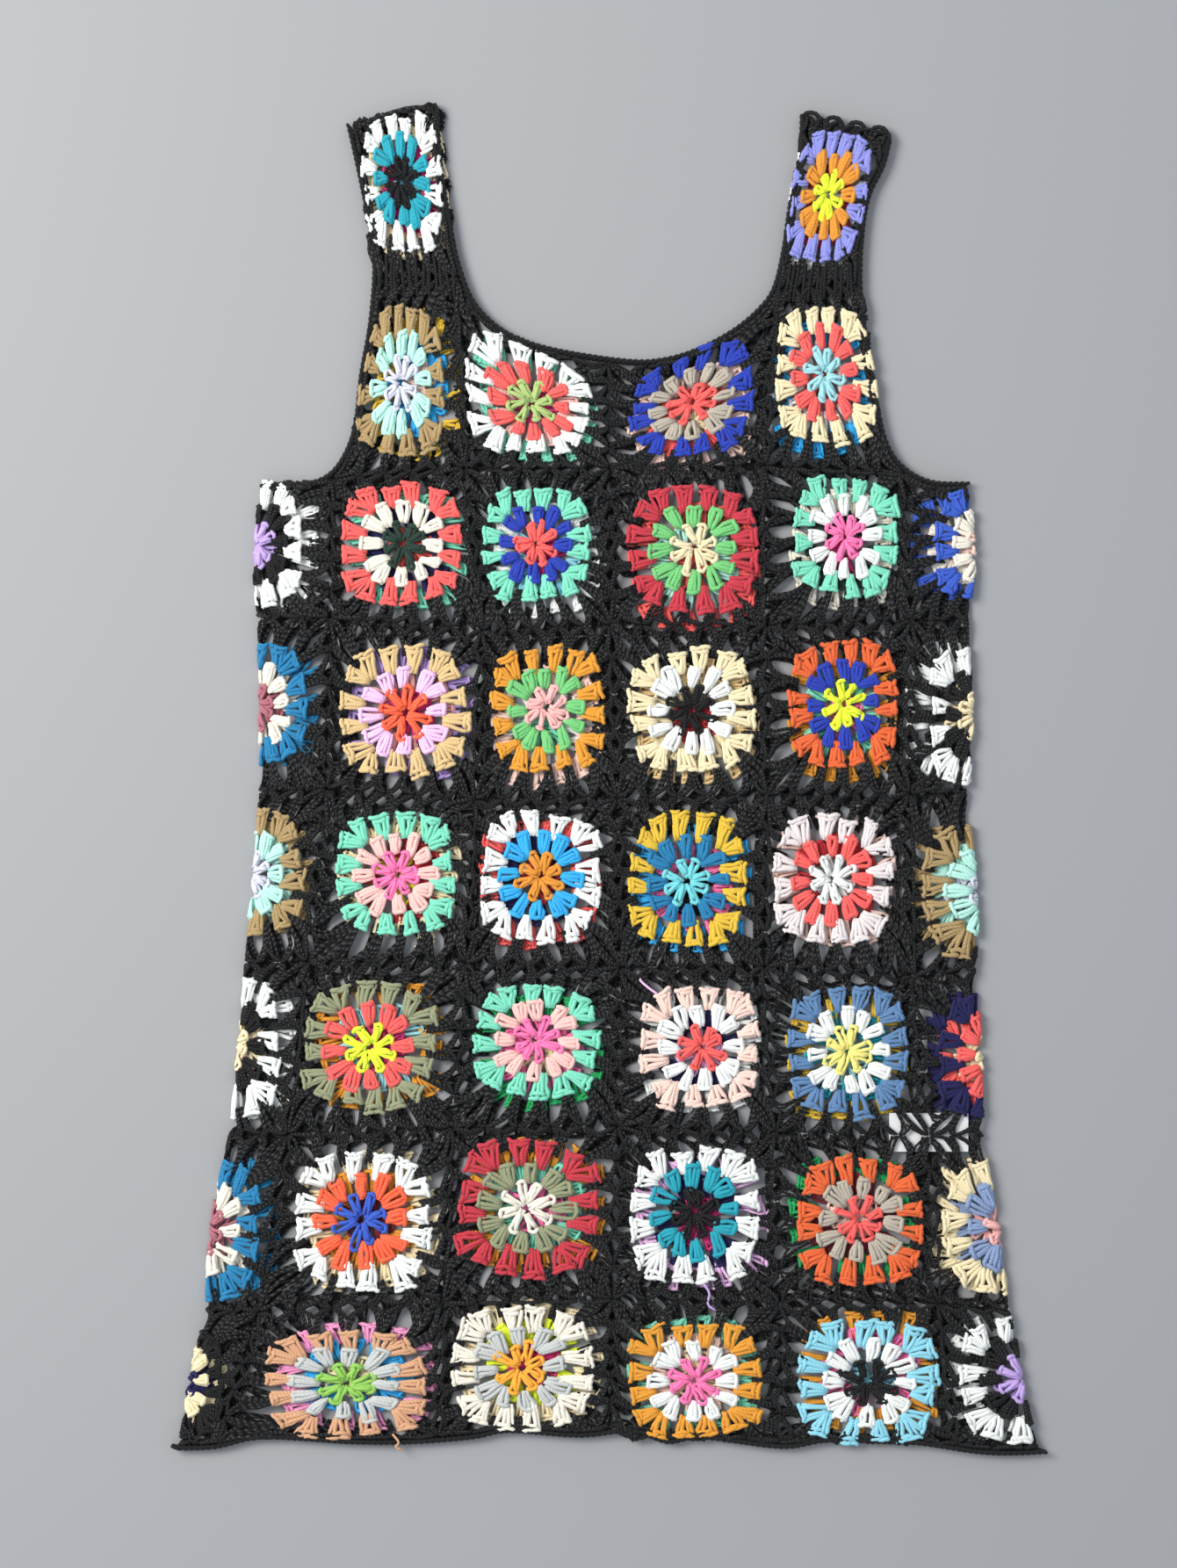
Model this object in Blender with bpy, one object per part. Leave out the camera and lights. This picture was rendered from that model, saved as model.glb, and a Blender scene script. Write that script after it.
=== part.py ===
"""A cami dress crocheted from granny squares, laid flat on its back.

Metres, +Z up. The dress lies on the plane z = 0 with its straps towards +Y. It is a tube of
ten squares round and six squares long, so the outer square of each row is folded round the
side. Above it are a yoke of four squares in front and four at the back, and two straps.
Each piece is a wall of its own, with 0.3 mm between it and its neighbours, and the largest
gaps of the lace are cut between the tips of the black stitches where the squares meet.
"""
import math

import bmesh
import bpy
from mathutils import Vector

MM = 0.001

# Thicknesses: two layers of cloth with a little air between them
WALL = 2.6 * MM            # black lace round
PUFF = 0.8 * MM            # how far the coloured rounds stand above it
LAYER_GAP = 0.9 * MM
SEAM_GAP = 0.3 * MM
FRONT_BOTTOM = WALL + LAYER_GAP
FRONT_TOP = 2 * WALL + LAYER_GAP

# Trim and label
EDGING_WIDTH = 4.0 * MM
EDGING_LIFT = 0.2 * MM     # the trim is worked on the edge and hangs clear of the floor
LABEL_SIZE = (49 * MM, 24 * MM, 0.3 * MM)
LABEL_CENTRE = (198 * MM, -219 * MM, WALL + LAYER_GAP / 2)

# Where the seams between squares cross, in millimetres: one row for each level, hem first
SEAMS = ("left_fold", "side_c1", "c1_c2", "c2_c3", "c3_c4", "c4_side", "right_fold")
SEAM_X = (
    (-267, -242, -106, 0, 107, 216, 267),
    (-250, -217, -103, 2, 106, 204, 248),
    (-236, -199, -98, 5, 103, 198, 232),
    (-226, -187, -89, 7, 96, 188, 228),
    (-217, -175, -83, 5, 98, 186, 222),
    (-218, -173, -79, 1, 98, 187, 223),
    (-213, -170, -90, 0, 96, 183, 220),
)
SEAM_Y = (
    (-412, -411, -406, -402, -410, -412, -415),
    (-329, -330, -324, -322, -325, -325, -329),
    (-220, -220, -216, -215, -219, -221, -220),
    (-114, -113, -114, -117, -116, -122, -119),
    (-8, -6, -13, -12, -10, -9, -9),
    (99, 100, 92, 95, 95, 98, 98),
    (180, 184, 192, 192, 194, 188, 180),
)
TOP_LEVEL = len(SEAM_X) - 1
LAST_SEAM = len(SEAMS) - 1
ROWS = range(1, TOP_LEVEL + 1)        # row 1 is the one under the bust, row 6 the hem
COLUMNS = range(1, 5)

# The back panel lies a little lower than the front, and its squares nearer the middle
BACK_SHIFT_X = (0, 5.5, 4.5, 0, -5.5, -6.5, 0)        # for each seam
BACK_SHIFT_Y = (0, 6, -6, -6, -6, -6, -1)             # for each level

# Outer edges of the garment, in millimetres, as the trim runs
ARMHOLE_LEFT = (
    (-216, 184), (-197, 184), (-180, 186), (-168, 196), (-159, 217), (-155, 250),
    (-149, 285), (-147, 325), (-154, 364), (-160, 392), (-163, 405),
)
NECK = (
    (-105, 418), (-103, 381), (-98, 350), (-93, 323), (-84, 298), (-71, 283), (-54, 273),
    (-29, 266), (12, 260), (34, 261), (54, 267), (75, 278), (91, 291), (101, 305),
    (107, 330), (111, 358), (117, 380), (118, 411),
)
ARMHOLE_RIGHT = (
    (176, 399), (171, 379), (162, 360), (158, 335), (157, 305), (161, 268), (168, 228),
    (174, 206), (184, 193), (200, 185), (223, 184),
)
HEM = (
    (-271, -416), (-243, -415), (-214, -409), (-160, -412), (-122, -412), (-84, -409),
    (-62, -405), (-18, -408), (14, -405), (36, -412), (58, -409), (107, -415),
    (135, -411), (172, -412), (194, -413), (227, -418), (249, -419), (271, -418),
)
# Where the straps meet the yoke: the outer and the inner end of each join, millimetres
STRAP_JOINS = {"left": ((-147, 308), (-90, 312)), "right": ((157, 306), (103, 304))}
CURVE_STEPS = 2            # points on the smooth curve for each row of these tables
SHORTEST = 0.8 * MM        # closer points of an outline are left out

# A square in its own units: it runs from -1 to 1 both ways
PETAL = (0.92, 0.78, 0.64)     # along a seam: outer end, middle and inner end of a lace gap
PETAL_DEPTH = 0.125
PUFF_CORNERS = 12
PUFF_SIZE = 0.78
PUFF_SQUARENESS = 0.35         # 0 is a circle, 1 a square
PUFF_SLOPE = 0.93
FOLD_BEND = 0.055              # half the part of a side square that goes round the fold
FOLD_FACETS = 3
SHOULDER_FOLD = 0.93           # the back strap turns up over the shoulder past this
SHOULDER_GAP = 0.012
NECK_LOW = (0, 261)            # the middle of the neckline, where two yoke squares meet, mm

# Colour of each yarn; all are matt cotton
ROUGHNESS = 0.85
YARNS = {
    "black": (0.012, 0.012, 0.013),
    "white": (0.85, 0.85, 0.83),
    "cream": (0.82, 0.70, 0.45),
    "mint": (0.18, 0.70, 0.50),
    "coral": (0.90, 0.13, 0.10),
    "crimson": (0.50, 0.02, 0.04),
    "peach": (0.85, 0.62, 0.55),
    "khaki": (0.26, 0.18, 0.09),
    "tan": (0.62, 0.42, 0.22),
    "gold": (0.80, 0.38, 0.01),
    "mustard": (0.65, 0.42, 0.03),
    "orange": (0.72, 0.12, 0.01),
    "royal": (0.01, 0.04, 0.40),
    "steel": (0.09, 0.21, 0.40),
    "sky": (0.28, 0.68, 0.78),
    "periwinkle": (0.26, 0.29, 0.71),
    "cerulean": (0.01, 0.17, 0.33),
    "sage": (0.27, 0.31, 0.18),
    "navy": (0.01, 0.01, 0.025),
    "brown": (0.55, 0.32, 0.18),
}

# Colour of the outer coloured round of each square: left side, four in front, right side
BODY_ROUNDS = (
    ("white", "coral", "mint", "crimson", "mint", "royal"),
    ("cerulean", "tan", "gold", "cream", "orange", "white"),
    ("khaki", "mint", "white", "mustard", "peach", "khaki"),
    ("white", "sage", "mint", "peach", "steel", "navy"),
    ("cerulean", "white", "crimson", "white", "orange", "cream"),
    ("black", "brown", "cream", "gold", "sky", "white"),
)
YOKE_ROUNDS = ("khaki", "white", "royal", "cream")
STRAP_ROUNDS = {"left": "white", "right": "periwinkle"}


def clear_scene():
    """Start from an empty scene, without closing the file that this runs from."""
    for old in list(bpy.data.objects):
        bpy.data.objects.remove(old, do_unlink=True)


def yarn(name):
    """The matt cotton of one colour, made once."""
    if name in bpy.data.materials:
        return bpy.data.materials[name]
    cotton = bpy.data.materials.new(name)
    cotton.use_nodes = True
    shader = cotton.node_tree.nodes["Principled BSDF"]
    shader.inputs["Base Color"].default_value = (*YARNS[name], 1.0)
    shader.inputs["Roughness"].default_value = ROUGHNESS
    shader.inputs["Metallic"].default_value = 0.0
    return cotton


# Curves in the plane

def smooth(table):
    """A smooth curve through the points of a table in millimetres, as points in metres."""
    points = [Vector(point) * MM for point in table]
    padded = [2 * points[0] - points[1], *points, 2 * points[-1] - points[-2]]
    curve = []
    for before, start, end, after in zip(padded, padded[1:], padded[2:], padded[3:]):
        for step in range(CURVE_STEPS):
            t = step / CURVE_STEPS
            curve.append(
                start
                + 0.5 * t * (end - before)
                + t * t * (before - 2.5 * start + 2 * end - 0.5 * after)
                + t * t * t * (1.5 * (start - end) + 0.5 * (after - before))
            )
    curve.append(points[-1])
    return curve


def beside(curve, distance):
    """The same curve moved to its left by a distance, or to its right if negative."""
    moved = []
    for index, point in enumerate(curve):
        ahead = curve[min(index + 1, len(curve) - 1)]
        behind = curve[max(index - 1, 0)]
        way = (ahead - behind).normalized()
        moved.append(point + Vector((-way.y, way.x)) * distance)
    return moved


def locate(curve, point):
    """How far along a curve the nearest place to a point is, counted in its own points."""
    best = (math.inf, 0)
    for index, (start, end) in enumerate(zip(curve, curve[1:])):
        run = end - start
        fraction = min(max((point - start).dot(run) / run.length_squared, 0), 1)
        best = min(best, ((start + run * fraction - point).length, index + fraction))
    return best[1]


def point_at(curve, count):
    """The point of a curve at a place given by locate."""
    index = min(int(count), len(curve) - 2)
    return curve[index].lerp(curve[index + 1], count - index)


def stretch(curve, start, end):
    """The stretch of a curve between the places nearest to two points, either way round."""
    first, last = locate(curve, start), locate(curve, end)
    low, high = min(first, last), max(first, last)
    ends = (point_at(curve, low), point_at(curve, high))
    between = [
        point for point in curve[math.floor(low) + 1:math.ceil(high)]
        if min((point - ends[0]).length, (point - ends[1]).length) > SHORTEST
    ]
    part = [ends[0], *between, ends[1]]
    return part if first <= last else part[::-1]


def fractions(points):
    """How far along a run of points each one is, from 0 to 1."""
    lengths = [0.0]
    for start, end in zip(points, points[1:]):
        lengths.append(lengths[-1] + (end - start).length)
    return [length / lengths[-1] for length in lengths]


def count_at(marks, t):
    """How far along a list of rising marks a value lies, counted in the marks."""
    index = 1
    while index < len(marks) - 1 and marks[index] < t:
        index += 1
    return index - 1 + (t - marks[index - 1]) / (marks[index] - marks[index - 1])


def walk(points, t):
    """The point at t, from 0 to 1, along a run of points."""
    return point_at(points, count_at(fractions(points), t))


def place_in(square, u, v):
    """Carry a point of a square's own units, -1 to 1 both ways, between its four sides."""
    s, t = (u + 1) / 2, (v + 1) / 2
    bottom, top = square["bottom"], square["top"]
    across = walk(bottom, s) * (1 - t) + walk(top, s) * t
    upward = walk(square["left"], t) * (1 - s) + walk(square["right"], t) * s
    low, high = bottom[0].lerp(bottom[-1], s), top[0].lerp(top[-1], s)
    return across + upward - low.lerp(high, t)


# The layout of the garment

INNER_EDGE = EDGING_WIDTH + SEAM_GAP / 2
OUTER_EDGES = {
    "armhole_left": smooth(ARMHOLE_LEFT),
    "neck": smooth(NECK),
    "armhole_right": smooth(ARMHOLE_RIGHT),
    "hem": smooth(HEM),
}
# The curves run left to right, so the cloth is on the right of all of them but the hem
CLOTH_SIDE = {"armhole_left": -1, "neck": -1, "armhole_right": -1, "hem": 1}
EDGES = {name: beside(curve, CLOTH_SIDE[name] * INNER_EDGE) for name, curve in OUTER_EDGES.items()}


def edge_under(level, seam):
    """The outer edge that a seam crossing lies on, or None inside the garment."""
    if level == 0:
        return "hem"
    if level == TOP_LEVEL and seam <= 1:
        return "armhole_left"
    if level == TOP_LEVEL and seam >= LAST_SEAM - 1:
        return "armhole_right"
    return None


def crossing(layer, level, seam):
    """Where a seam crosses a level, on the front or the back layer."""
    x, y = SEAM_X[level][seam], SEAM_Y[level][seam]
    if layer == "back" and 0 < seam < LAST_SEAM:
        x += BACK_SHIFT_X[seam]
        y += BACK_SHIFT_Y[level]
    point = Vector((x, y)) * MM
    edge = edge_under(level, seam)
    if edge:
        return point_at(EDGES[edge], locate(EDGES[edge], point))
    return point


def join(layer, level, seam):
    """The join below a row of squares, from one seam to the next on its right."""
    start, end = crossing(layer, level, seam), crossing(layer, level, seam + 1)
    edge = edge_under(level, seam)
    if edge and edge == edge_under(level, seam + 1):
        return stretch(EDGES[edge], start, end)
    return [start, end]


def four_sides(bottom, top, left=None, right=None):
    """The sides of a square, each a run of points, left to right or bottom to top."""
    left = left or [bottom[0], top[0]]
    right = right or [bottom[-1], top[-1]]
    return {"bottom": bottom, "top": top, "left": left, "right": right}


def body_square(layer, row, column):
    """The sides of a square of the body; columns 0 and 5 are the halves at the two folds."""
    level = TOP_LEVEL - row
    return four_sides(join(layer, level, column), join(layer, level + 1, column))


def strap_join(side):
    """The join of a strap and the yoke, from left to right, on the inner line of the edges."""
    outer, inner = [Vector(point) * MM for point in STRAP_JOINS[side]]
    armhole, neck = EDGES["armhole_" + side], EDGES["neck"]
    ends = [point_at(armhole, locate(armhole, outer)), point_at(neck, locate(neck, inner))]
    return ends if side == "left" else ends[::-1]


def yoke_square(layer, column):
    """The sides of a square of the yoke, which neck and armholes pull to shape."""
    bottom = join(layer, TOP_LEVEL, column)
    neck = EDGES["neck"]
    neck_low = point_at(neck, locate(neck, Vector(NECK_LOW) * MM))
    left_join, right_join = strap_join("left"), strap_join("right")
    if column == 1:
        outer = stretch(EDGES["armhole_left"], bottom[0], left_join[0])
        return four_sides(bottom, left_join, left=outer)
    if column == 2:
        return four_sides(bottom, stretch(neck, left_join[1], neck_low))
    if column == 3:
        return four_sides(bottom, stretch(neck, neck_low, right_join[0]))
    outer = stretch(EDGES["armhole_right"], bottom[-1], right_join[1])
    return four_sides(bottom, right_join, right=outer)


def strap_square(side):
    """The sides of a strap, between the neck and an armhole, from the yoke to the shoulder."""
    bottom = strap_join(side)
    if side == "left":
        left = stretch(EDGES["armhole_left"], bottom[0], EDGES["armhole_left"][-1])
        right = stretch(EDGES["neck"], bottom[1], EDGES["neck"][0])
    else:
        left = stretch(EDGES["neck"], bottom[0], EDGES["neck"][-1])
        right = stretch(EDGES["armhole_right"], bottom[1], EDGES["armhole_right"][0])
    return four_sides(bottom, [left[-1], right[-1]], left, right)


# Outlines, in a square's own units

TRAVEL = {"bottom": (1, 0), "right": (0, 1), "top": (-1, 0), "left": (0, -1)}
LACE_STEPS = (
    (-1, 0),
    (-PETAL[0], 0), (-PETAL[1], PETAL_DEPTH), (-PETAL[2], 0),
    (PETAL[2], 0), (PETAL[1], PETAL_DEPTH), (PETAL[0], 0),
)


def edge_steps(points, forward):
    """Steps along a side that has no gaps, one for each point of its curve but the last."""
    marks = [2 * mark - 1 for mark in fractions(points)]
    if not forward:
        marks = [-mark for mark in reversed(marks)]
    return [(mark, 0) for mark in marks[:-1]]


def side_points(side, steps):
    """Points along one side of a square, from steps along it and their depths inwards."""
    way = Vector(TRAVEL[side])
    inward = Vector((-way.y, way.x))
    return [way * distance - inward * (1 - depth) for distance, depth in steps]


def square_outline(square, lace):
    """The outline of a square, counter-clockwise, with lace gaps on the sides named."""
    outline = []
    for side in TRAVEL:
        plain = edge_steps(square[side], side in ("bottom", "right"))
        outline += side_points(side, LACE_STEPS if side in lace else plain)
    return outline


def puff_outline():
    """The rounded square of the coloured rounds."""
    outline = []
    for index in range(PUFF_CORNERS):
        angle = 2 * math.pi * (index + 0.5) / PUFF_CORNERS
        x, y = math.cos(angle), math.sin(angle)
        reach = PUFF_SIZE * (1 - PUFF_SQUARENESS + PUFF_SQUARENESS / max(abs(x), abs(y)))
        outline.append(Vector((x * reach, y * reach)))
    return outline


def half_puff_outline():
    """The part of it that lies on the front half of a folded square."""
    end = -2 * FOLD_BEND
    kept = [point for point in puff_outline() if point.x < 2 * end]
    high = Vector((end, max(point.y for point in kept)))
    low = Vector((end, min(point.y for point in kept)))
    return [high, *kept, low]


def shrunk(outline, width, height):
    """The outline with half a seam's gap taken off all round."""
    across, upward = 1 - SEAM_GAP / width, 1 - SEAM_GAP / height
    return [Vector((point.x * across, point.y * upward)) for point in outline]


def spans(square):
    """The least width and the height of a square."""
    width = min((square["bottom"][-1] - square["bottom"][0]).length,
                (square["top"][-1] - square["top"][0]).length)
    height = min((square["left"][-1] - square["left"][0]).length,
                 (square["right"][-1] - square["right"][0]).length)
    return width, height


def lace_sides(row):
    """The sides of a square of the body that have the large gaps: all but the hem."""
    return set(TRAVEL) - ({"bottom"} if row == ROWS[-1] else set())


# Walls

def edge_loop(bm, points):
    """A closed loop of edges on the plane z = 0."""
    verts = [bm.verts.new((point.x, point.y, 0)) for point in points]
    return [bm.edges.new((verts[index - 1], verts[index])) for index in range(len(verts))]


def lift_faces(bm, faces, height):
    """Extrude faces straight up to a height and return the new points."""
    region = set(faces)
    edges = {edge for face in faces for edge in face.edges}
    result = bmesh.ops.extrude_face_region(bm, geom=list(region) + list(edges))
    verts = [item for item in result["geom"] if isinstance(item, bmesh.types.BMVert)]
    for vert in verts:
        vert.co.z = height
    return verts


def flat_sheet(outline, holes=(), puff=None):
    """The flat region inside an outline, open at its holes; the faces of a puff are marked."""
    bm = bmesh.new()
    rims = [edge for points in (outline, *holes) for edge in edge_loop(bm, points)]
    puff_rim = edge_loop(bm, puff) if puff else []
    bmesh.ops.triangle_fill(bm, use_beauty=True, edges=rims + puff_rim)
    around = set(bm.faces)
    if puff:
        bmesh.ops.triangle_fill(bm, use_beauty=True, edges=puff_rim)
    for face in bm.faces:
        face.material_index = 0 if face in around else 1
    bmesh.ops.dissolve_limit(
        bm, angle_limit=0.001, verts=[], edges=bm.edges[:], delimit={"MATERIAL"}
    )
    return bm


def cut(bm, axis, places):
    """Cut a flat sheet along lines across an axis."""
    normal = Vector((0, 0, 0))
    normal[axis] = 1
    for place in places:
        geometry = bm.verts[:] + bm.edges[:] + bm.faces[:]
        bmesh.ops.bisect_plane(bm, geom=geometry, dist=1e-6, plane_co=normal * place, plane_no=normal)


def thicken(bm):
    """Make a wall from z = 0 to 1 of a flat sheet, with its puff raised to z = 2."""
    bmesh.ops.triangulate(bm, faces=bm.faces[:])
    lift_faces(bm, bm.faces[:], 1)
    raised = [
        face for face in bm.faces
        if face.material_index and min(vert.co.z for vert in face.verts) > 0.5
    ]
    for vert in lift_faces(bm, raised, 2) if raised else ():
        vert.co.x *= PUFF_SLOPE
        vert.co.y *= PUFF_SLOPE


def finish(bm, name, *yarn_names):
    """Turn a mesh outwards, put it in the scene and give it its yarns."""
    bmesh.ops.triangulate(bm, faces=bm.faces[:])
    bmesh.ops.recalc_face_normals(bm, faces=bm.faces[:])
    mesh = bpy.data.meshes.new(name)
    bm.to_mesh(mesh)
    bm.free()
    for yarn_name in yarn_names:
        mesh.materials.append(yarn(yarn_name))
    piece = bpy.data.objects.new(name, mesh)
    bpy.context.scene.collection.objects.link(piece)
    return piece


FRONT_HEIGHTS = (FRONT_BOTTOM, FRONT_TOP, FRONT_TOP + PUFF)
BACK_HEIGHTS = (0, WALL, FRONT_TOP)


def lay(bm, square, heights):
    """Carry a flat wall into its square of the garment, at the heights of its layer."""
    for vert in bm.verts:
        point = place_in(square, vert.co.x, vert.co.y)
        vert.co = (point.x, point.y, heights[round(vert.co.z)])


def front_square(name, square, lace, round_yarn):
    """One square of the front layer."""
    outline = shrunk(square_outline(square, lace), *spans(square))
    bm = flat_sheet(outline, puff=puff_outline())
    thicken(bm)
    lay(bm, square, FRONT_HEIGHTS)
    return finish(bm, name, "black", round_yarn)


def back_square(name, square, lace):
    """One square of the back layer of the yoke."""
    bm = flat_sheet(shrunk(square_outline(square, lace), *spans(square)))
    thicken(bm)
    lay(bm, square, BACK_HEIGHTS)
    return finish(bm, name, "black")


def row_outline(squares, lace):
    """The outline of four squares in a row; each square is two units wide."""
    outline = []
    for side in TRAVEL:
        chosen = {"bottom": squares, "right": squares[-1:], "top": squares[::-1], "left": squares[:1]}
        for square in chosen[side]:
            steps = LACE_STEPS if side in lace else edge_steps(square[side], True)
            centre = Vector((2 * squares.index(square) + 1 - len(squares), 0))
            outline += [centre + point for point in side_points(side, steps)]
    return outline


def row_holes(count):
    """The lace gaps on the seams inside a row of squares, two on each seam."""
    holes = []
    for seam in range(1, count):
        x = 2 * seam - count
        for end in (-1, 1):
            far, middle, near = (end * place for place in PETAL)
            corners = ((x, far), (x - PETAL_DEPTH, middle), (x, near), (x + PETAL_DEPTH, middle))
            holes.append([Vector(corner) for corner in corners])
    return holes


def back_row(name, row):
    """Four squares of the back joined in a row, with the gaps of the seams between them."""
    squares = [body_square("back", row, column) for column in COLUMNS]
    width, height = spans(squares[0])
    outline = row_outline(squares, lace_sides(row))
    outline = shrunk(outline, width * len(squares), height)
    bm = flat_sheet(outline, holes=row_holes(len(squares)))
    thicken(bm)
    for vert in bm.verts:
        along_row = vert.co.x + len(squares)
        column = min(int(along_row / 2), len(squares) - 1)
        point = place_in(squares[column], along_row - 2 * column - 1, vert.co.y)
        vert.co = (point.x, point.y, BACK_HEIGHTS[round(vert.co.z)])
    return finish(bm, name, "black")


def half_edge_steps(halves, side, name):
    """Steps along an edge of a folded square, at the points of the edge on both its halves."""
    places = []
    for layer, sign in (("front", -1), ("back", 1)):
        points = halves[layer][name]
        from_fold = points if side == "left" else points[::-1]
        for mark in fractions(from_fold)[1:]:
            places.append(sign * (FOLD_BEND + mark * (1 - FOLD_BEND)))
    places.sort(reverse=name == "top")
    way = -1 if name == "top" else 1
    return [(place * way, 0) for place in places[:-1]]


def fold_outline(halves, side, lace):
    """The outline of a folded square: the front half is at u < 0 and the back half at u > 0."""
    outline = []
    for name in TRAVEL:
        steps = LACE_STEPS if name in lace else half_edge_steps(halves, side, name)
        outline += side_points(name, steps)
    return outline


def fold_point(halves, side, u, v, height):
    """Carry a point of a folded square to the front half, the back half or round the fold."""
    outer = -1 if side == "left" else 1
    half = halves["front" if u < 0 else "back"]
    reach = max(abs(u) - FOLD_BEND, 0) / (1 - FOLD_BEND)
    point = place_in(half, outer * (1 - 2 * reach), v)
    radius = LAYER_GAP / 2
    x = point.x - outer * (radius + WALL) * (1 - reach)
    z = FRONT_BOTTOM + height if u < 0 else WALL - height
    if abs(u) < FOLD_BEND:
        angle = u / FOLD_BEND * math.pi / 2
        x += outer * (radius + height) * math.cos(angle)
        z = WALL + radius - (radius + height) * math.sin(angle)
    return x, point.y, z


def side_square(name, row, side):
    """A square folded round the side, half on the front layer and half on the back."""
    column = 0 if side == "left" else LAST_SEAM - 1
    halves = {layer: body_square(layer, row, column) for layer in ("front", "back")}
    width, height = spans(halves["front"])
    lace = lace_sides(row) - ({"top"} if row == ROWS[0] else set())
    bm = flat_sheet(
        shrunk(fold_outline(halves, side, lace), 2 * width, height), puff=half_puff_outline()
    )
    cut(bm, 0, [FOLD_BEND * (2 * index / FOLD_FACETS - 1) for index in range(FOLD_FACETS + 1)])
    thicken(bm)
    heights = (0, WALL, WALL + PUFF)
    for vert in bm.verts:
        vert.co = fold_point(halves, side, vert.co.x, vert.co.y, heights[round(vert.co.z)])
    return finish(bm, name, "black", BODY_ROUNDS[row - 1][column])


def strap_back(name, side):
    """The back half of a strap, which turns up over the shoulder to meet the front half."""
    square = strap_square(side)
    outline = shrunk(square_outline(square, ()), *spans(square))
    bm = flat_sheet(outline)
    cut(bm, 1, [SHOULDER_FOLD])
    thicken(bm)
    lip = [
        face for face in bm.faces
        if min(vert.co.z for vert in face.verts) > 0.5
        and face.calc_center_median().y > SHOULDER_FOLD
    ]
    lift_faces(bm, lip, 2)
    lay(bm, square, BACK_HEIGHTS)
    return finish(bm, name, "black")


def strap_front(name, side):
    """The front half of a strap, up to the turn of the back half at the shoulder."""
    square = strap_square(side)
    outline = [
        Vector((point.x, min(point.y, SHOULDER_FOLD - SHOULDER_GAP)))
        for point in shrunk(square_outline(square, ()), *spans(square))
    ]
    bm = flat_sheet(outline, puff=puff_outline())
    thicken(bm)
    lay(bm, square, FRONT_HEIGHTS)
    return finish(bm, name, "black", STRAP_ROUNDS[side])


def edging(name, edge):
    """A trim that runs along the front edge, round the two ends and back along the back edge.

    The sheet is the trim seen from the side, unrolled: its length from 0 to 1 and its height,
    with a slit between the two runs. Thickened across, it becomes the width of the trim.
    """
    curve = OUTER_EDGES[edge]
    inner = beside(curve, CLOTH_SIDE[edge] * EDGING_WIDTH)
    length = sum((end - start).length for start, end in zip(curve, curve[1:]))
    end_wall = WALL / length
    bm = bmesh.new()
    corners = ((0, EDGING_LIFT), (1, EDGING_LIFT), (1, FRONT_TOP), (0, FRONT_TOP))
    bm.faces.new([bm.verts.new((*corner, 0)) for corner in corners])
    cut(bm, 0, (end_wall, 1 - end_wall))
    cut(bm, 1, (WALL, FRONT_BOTTOM))
    middle = [
        face for face in bm.faces
        if end_wall < face.calc_center_median().x < 1 - end_wall
        and WALL < face.calc_center_median().y < FRONT_BOTTOM
    ]
    bmesh.ops.delete(bm, geom=middle, context="FACES")
    marks = fractions(curve)
    cut(bm, 0, marks[1:-1])
    thicken(bm)
    for vert in bm.verts:
        across = (curve, inner)[round(vert.co.z)]
        point = point_at(across, count_at(marks, vert.co.x))
        vert.co = (point.x, point.y, vert.co.y)
    return finish(bm, name, "black")


def side_label(name):
    """The plain label sewn inside the wearer's left side, between the two layers."""
    bm = bmesh.new()
    bmesh.ops.create_cube(bm, size=1)
    bmesh.ops.scale(bm, vec=LABEL_SIZE, verts=bm.verts)
    bmesh.ops.translate(bm, vec=LABEL_CENTRE, verts=bm.verts)
    return finish(bm, name, "white")


def build():
    """Make every piece of the dress."""
    clear_scene()
    for row in ROWS:
        for column in COLUMNS:
            square = body_square("front", row, column)
            name = f"front_row{row}_square{column}"
            front_square(name, square, lace_sides(row), BODY_ROUNDS[row - 1][column])
        back_row(f"back_row{row}", row)
        side_square(f"side_left_row{row}", row, "left")
        side_square(f"side_right_row{row}", row, "right")
    for column in COLUMNS:
        lace = {"bottom"}
        if column < COLUMNS[-1]:
            lace.add("right")
        if column > COLUMNS[0]:
            lace.add("left")
        front = yoke_square("front", column)
        front_square(f"front_yoke_square{column}", front, lace, YOKE_ROUNDS[column - 1])
        back_square(f"back_yoke_square{column}", yoke_square("back", column), lace)
    for side in ("left", "right"):
        strap_front(f"strap_{side}_front", side)
        strap_back(f"strap_{side}_back", side)
    for edge in OUTER_EDGES:
        edging(f"{edge}_edging", edge)
    side_label("side_label")


build()
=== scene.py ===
# %% [markdown]
# # A crochet dress of granny squares
# The dress lies flat on the floor. Its solid model is loaded first and never changed, so that every new
# piece has something exact to lie on.

# %% Load the solid model
import math

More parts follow.
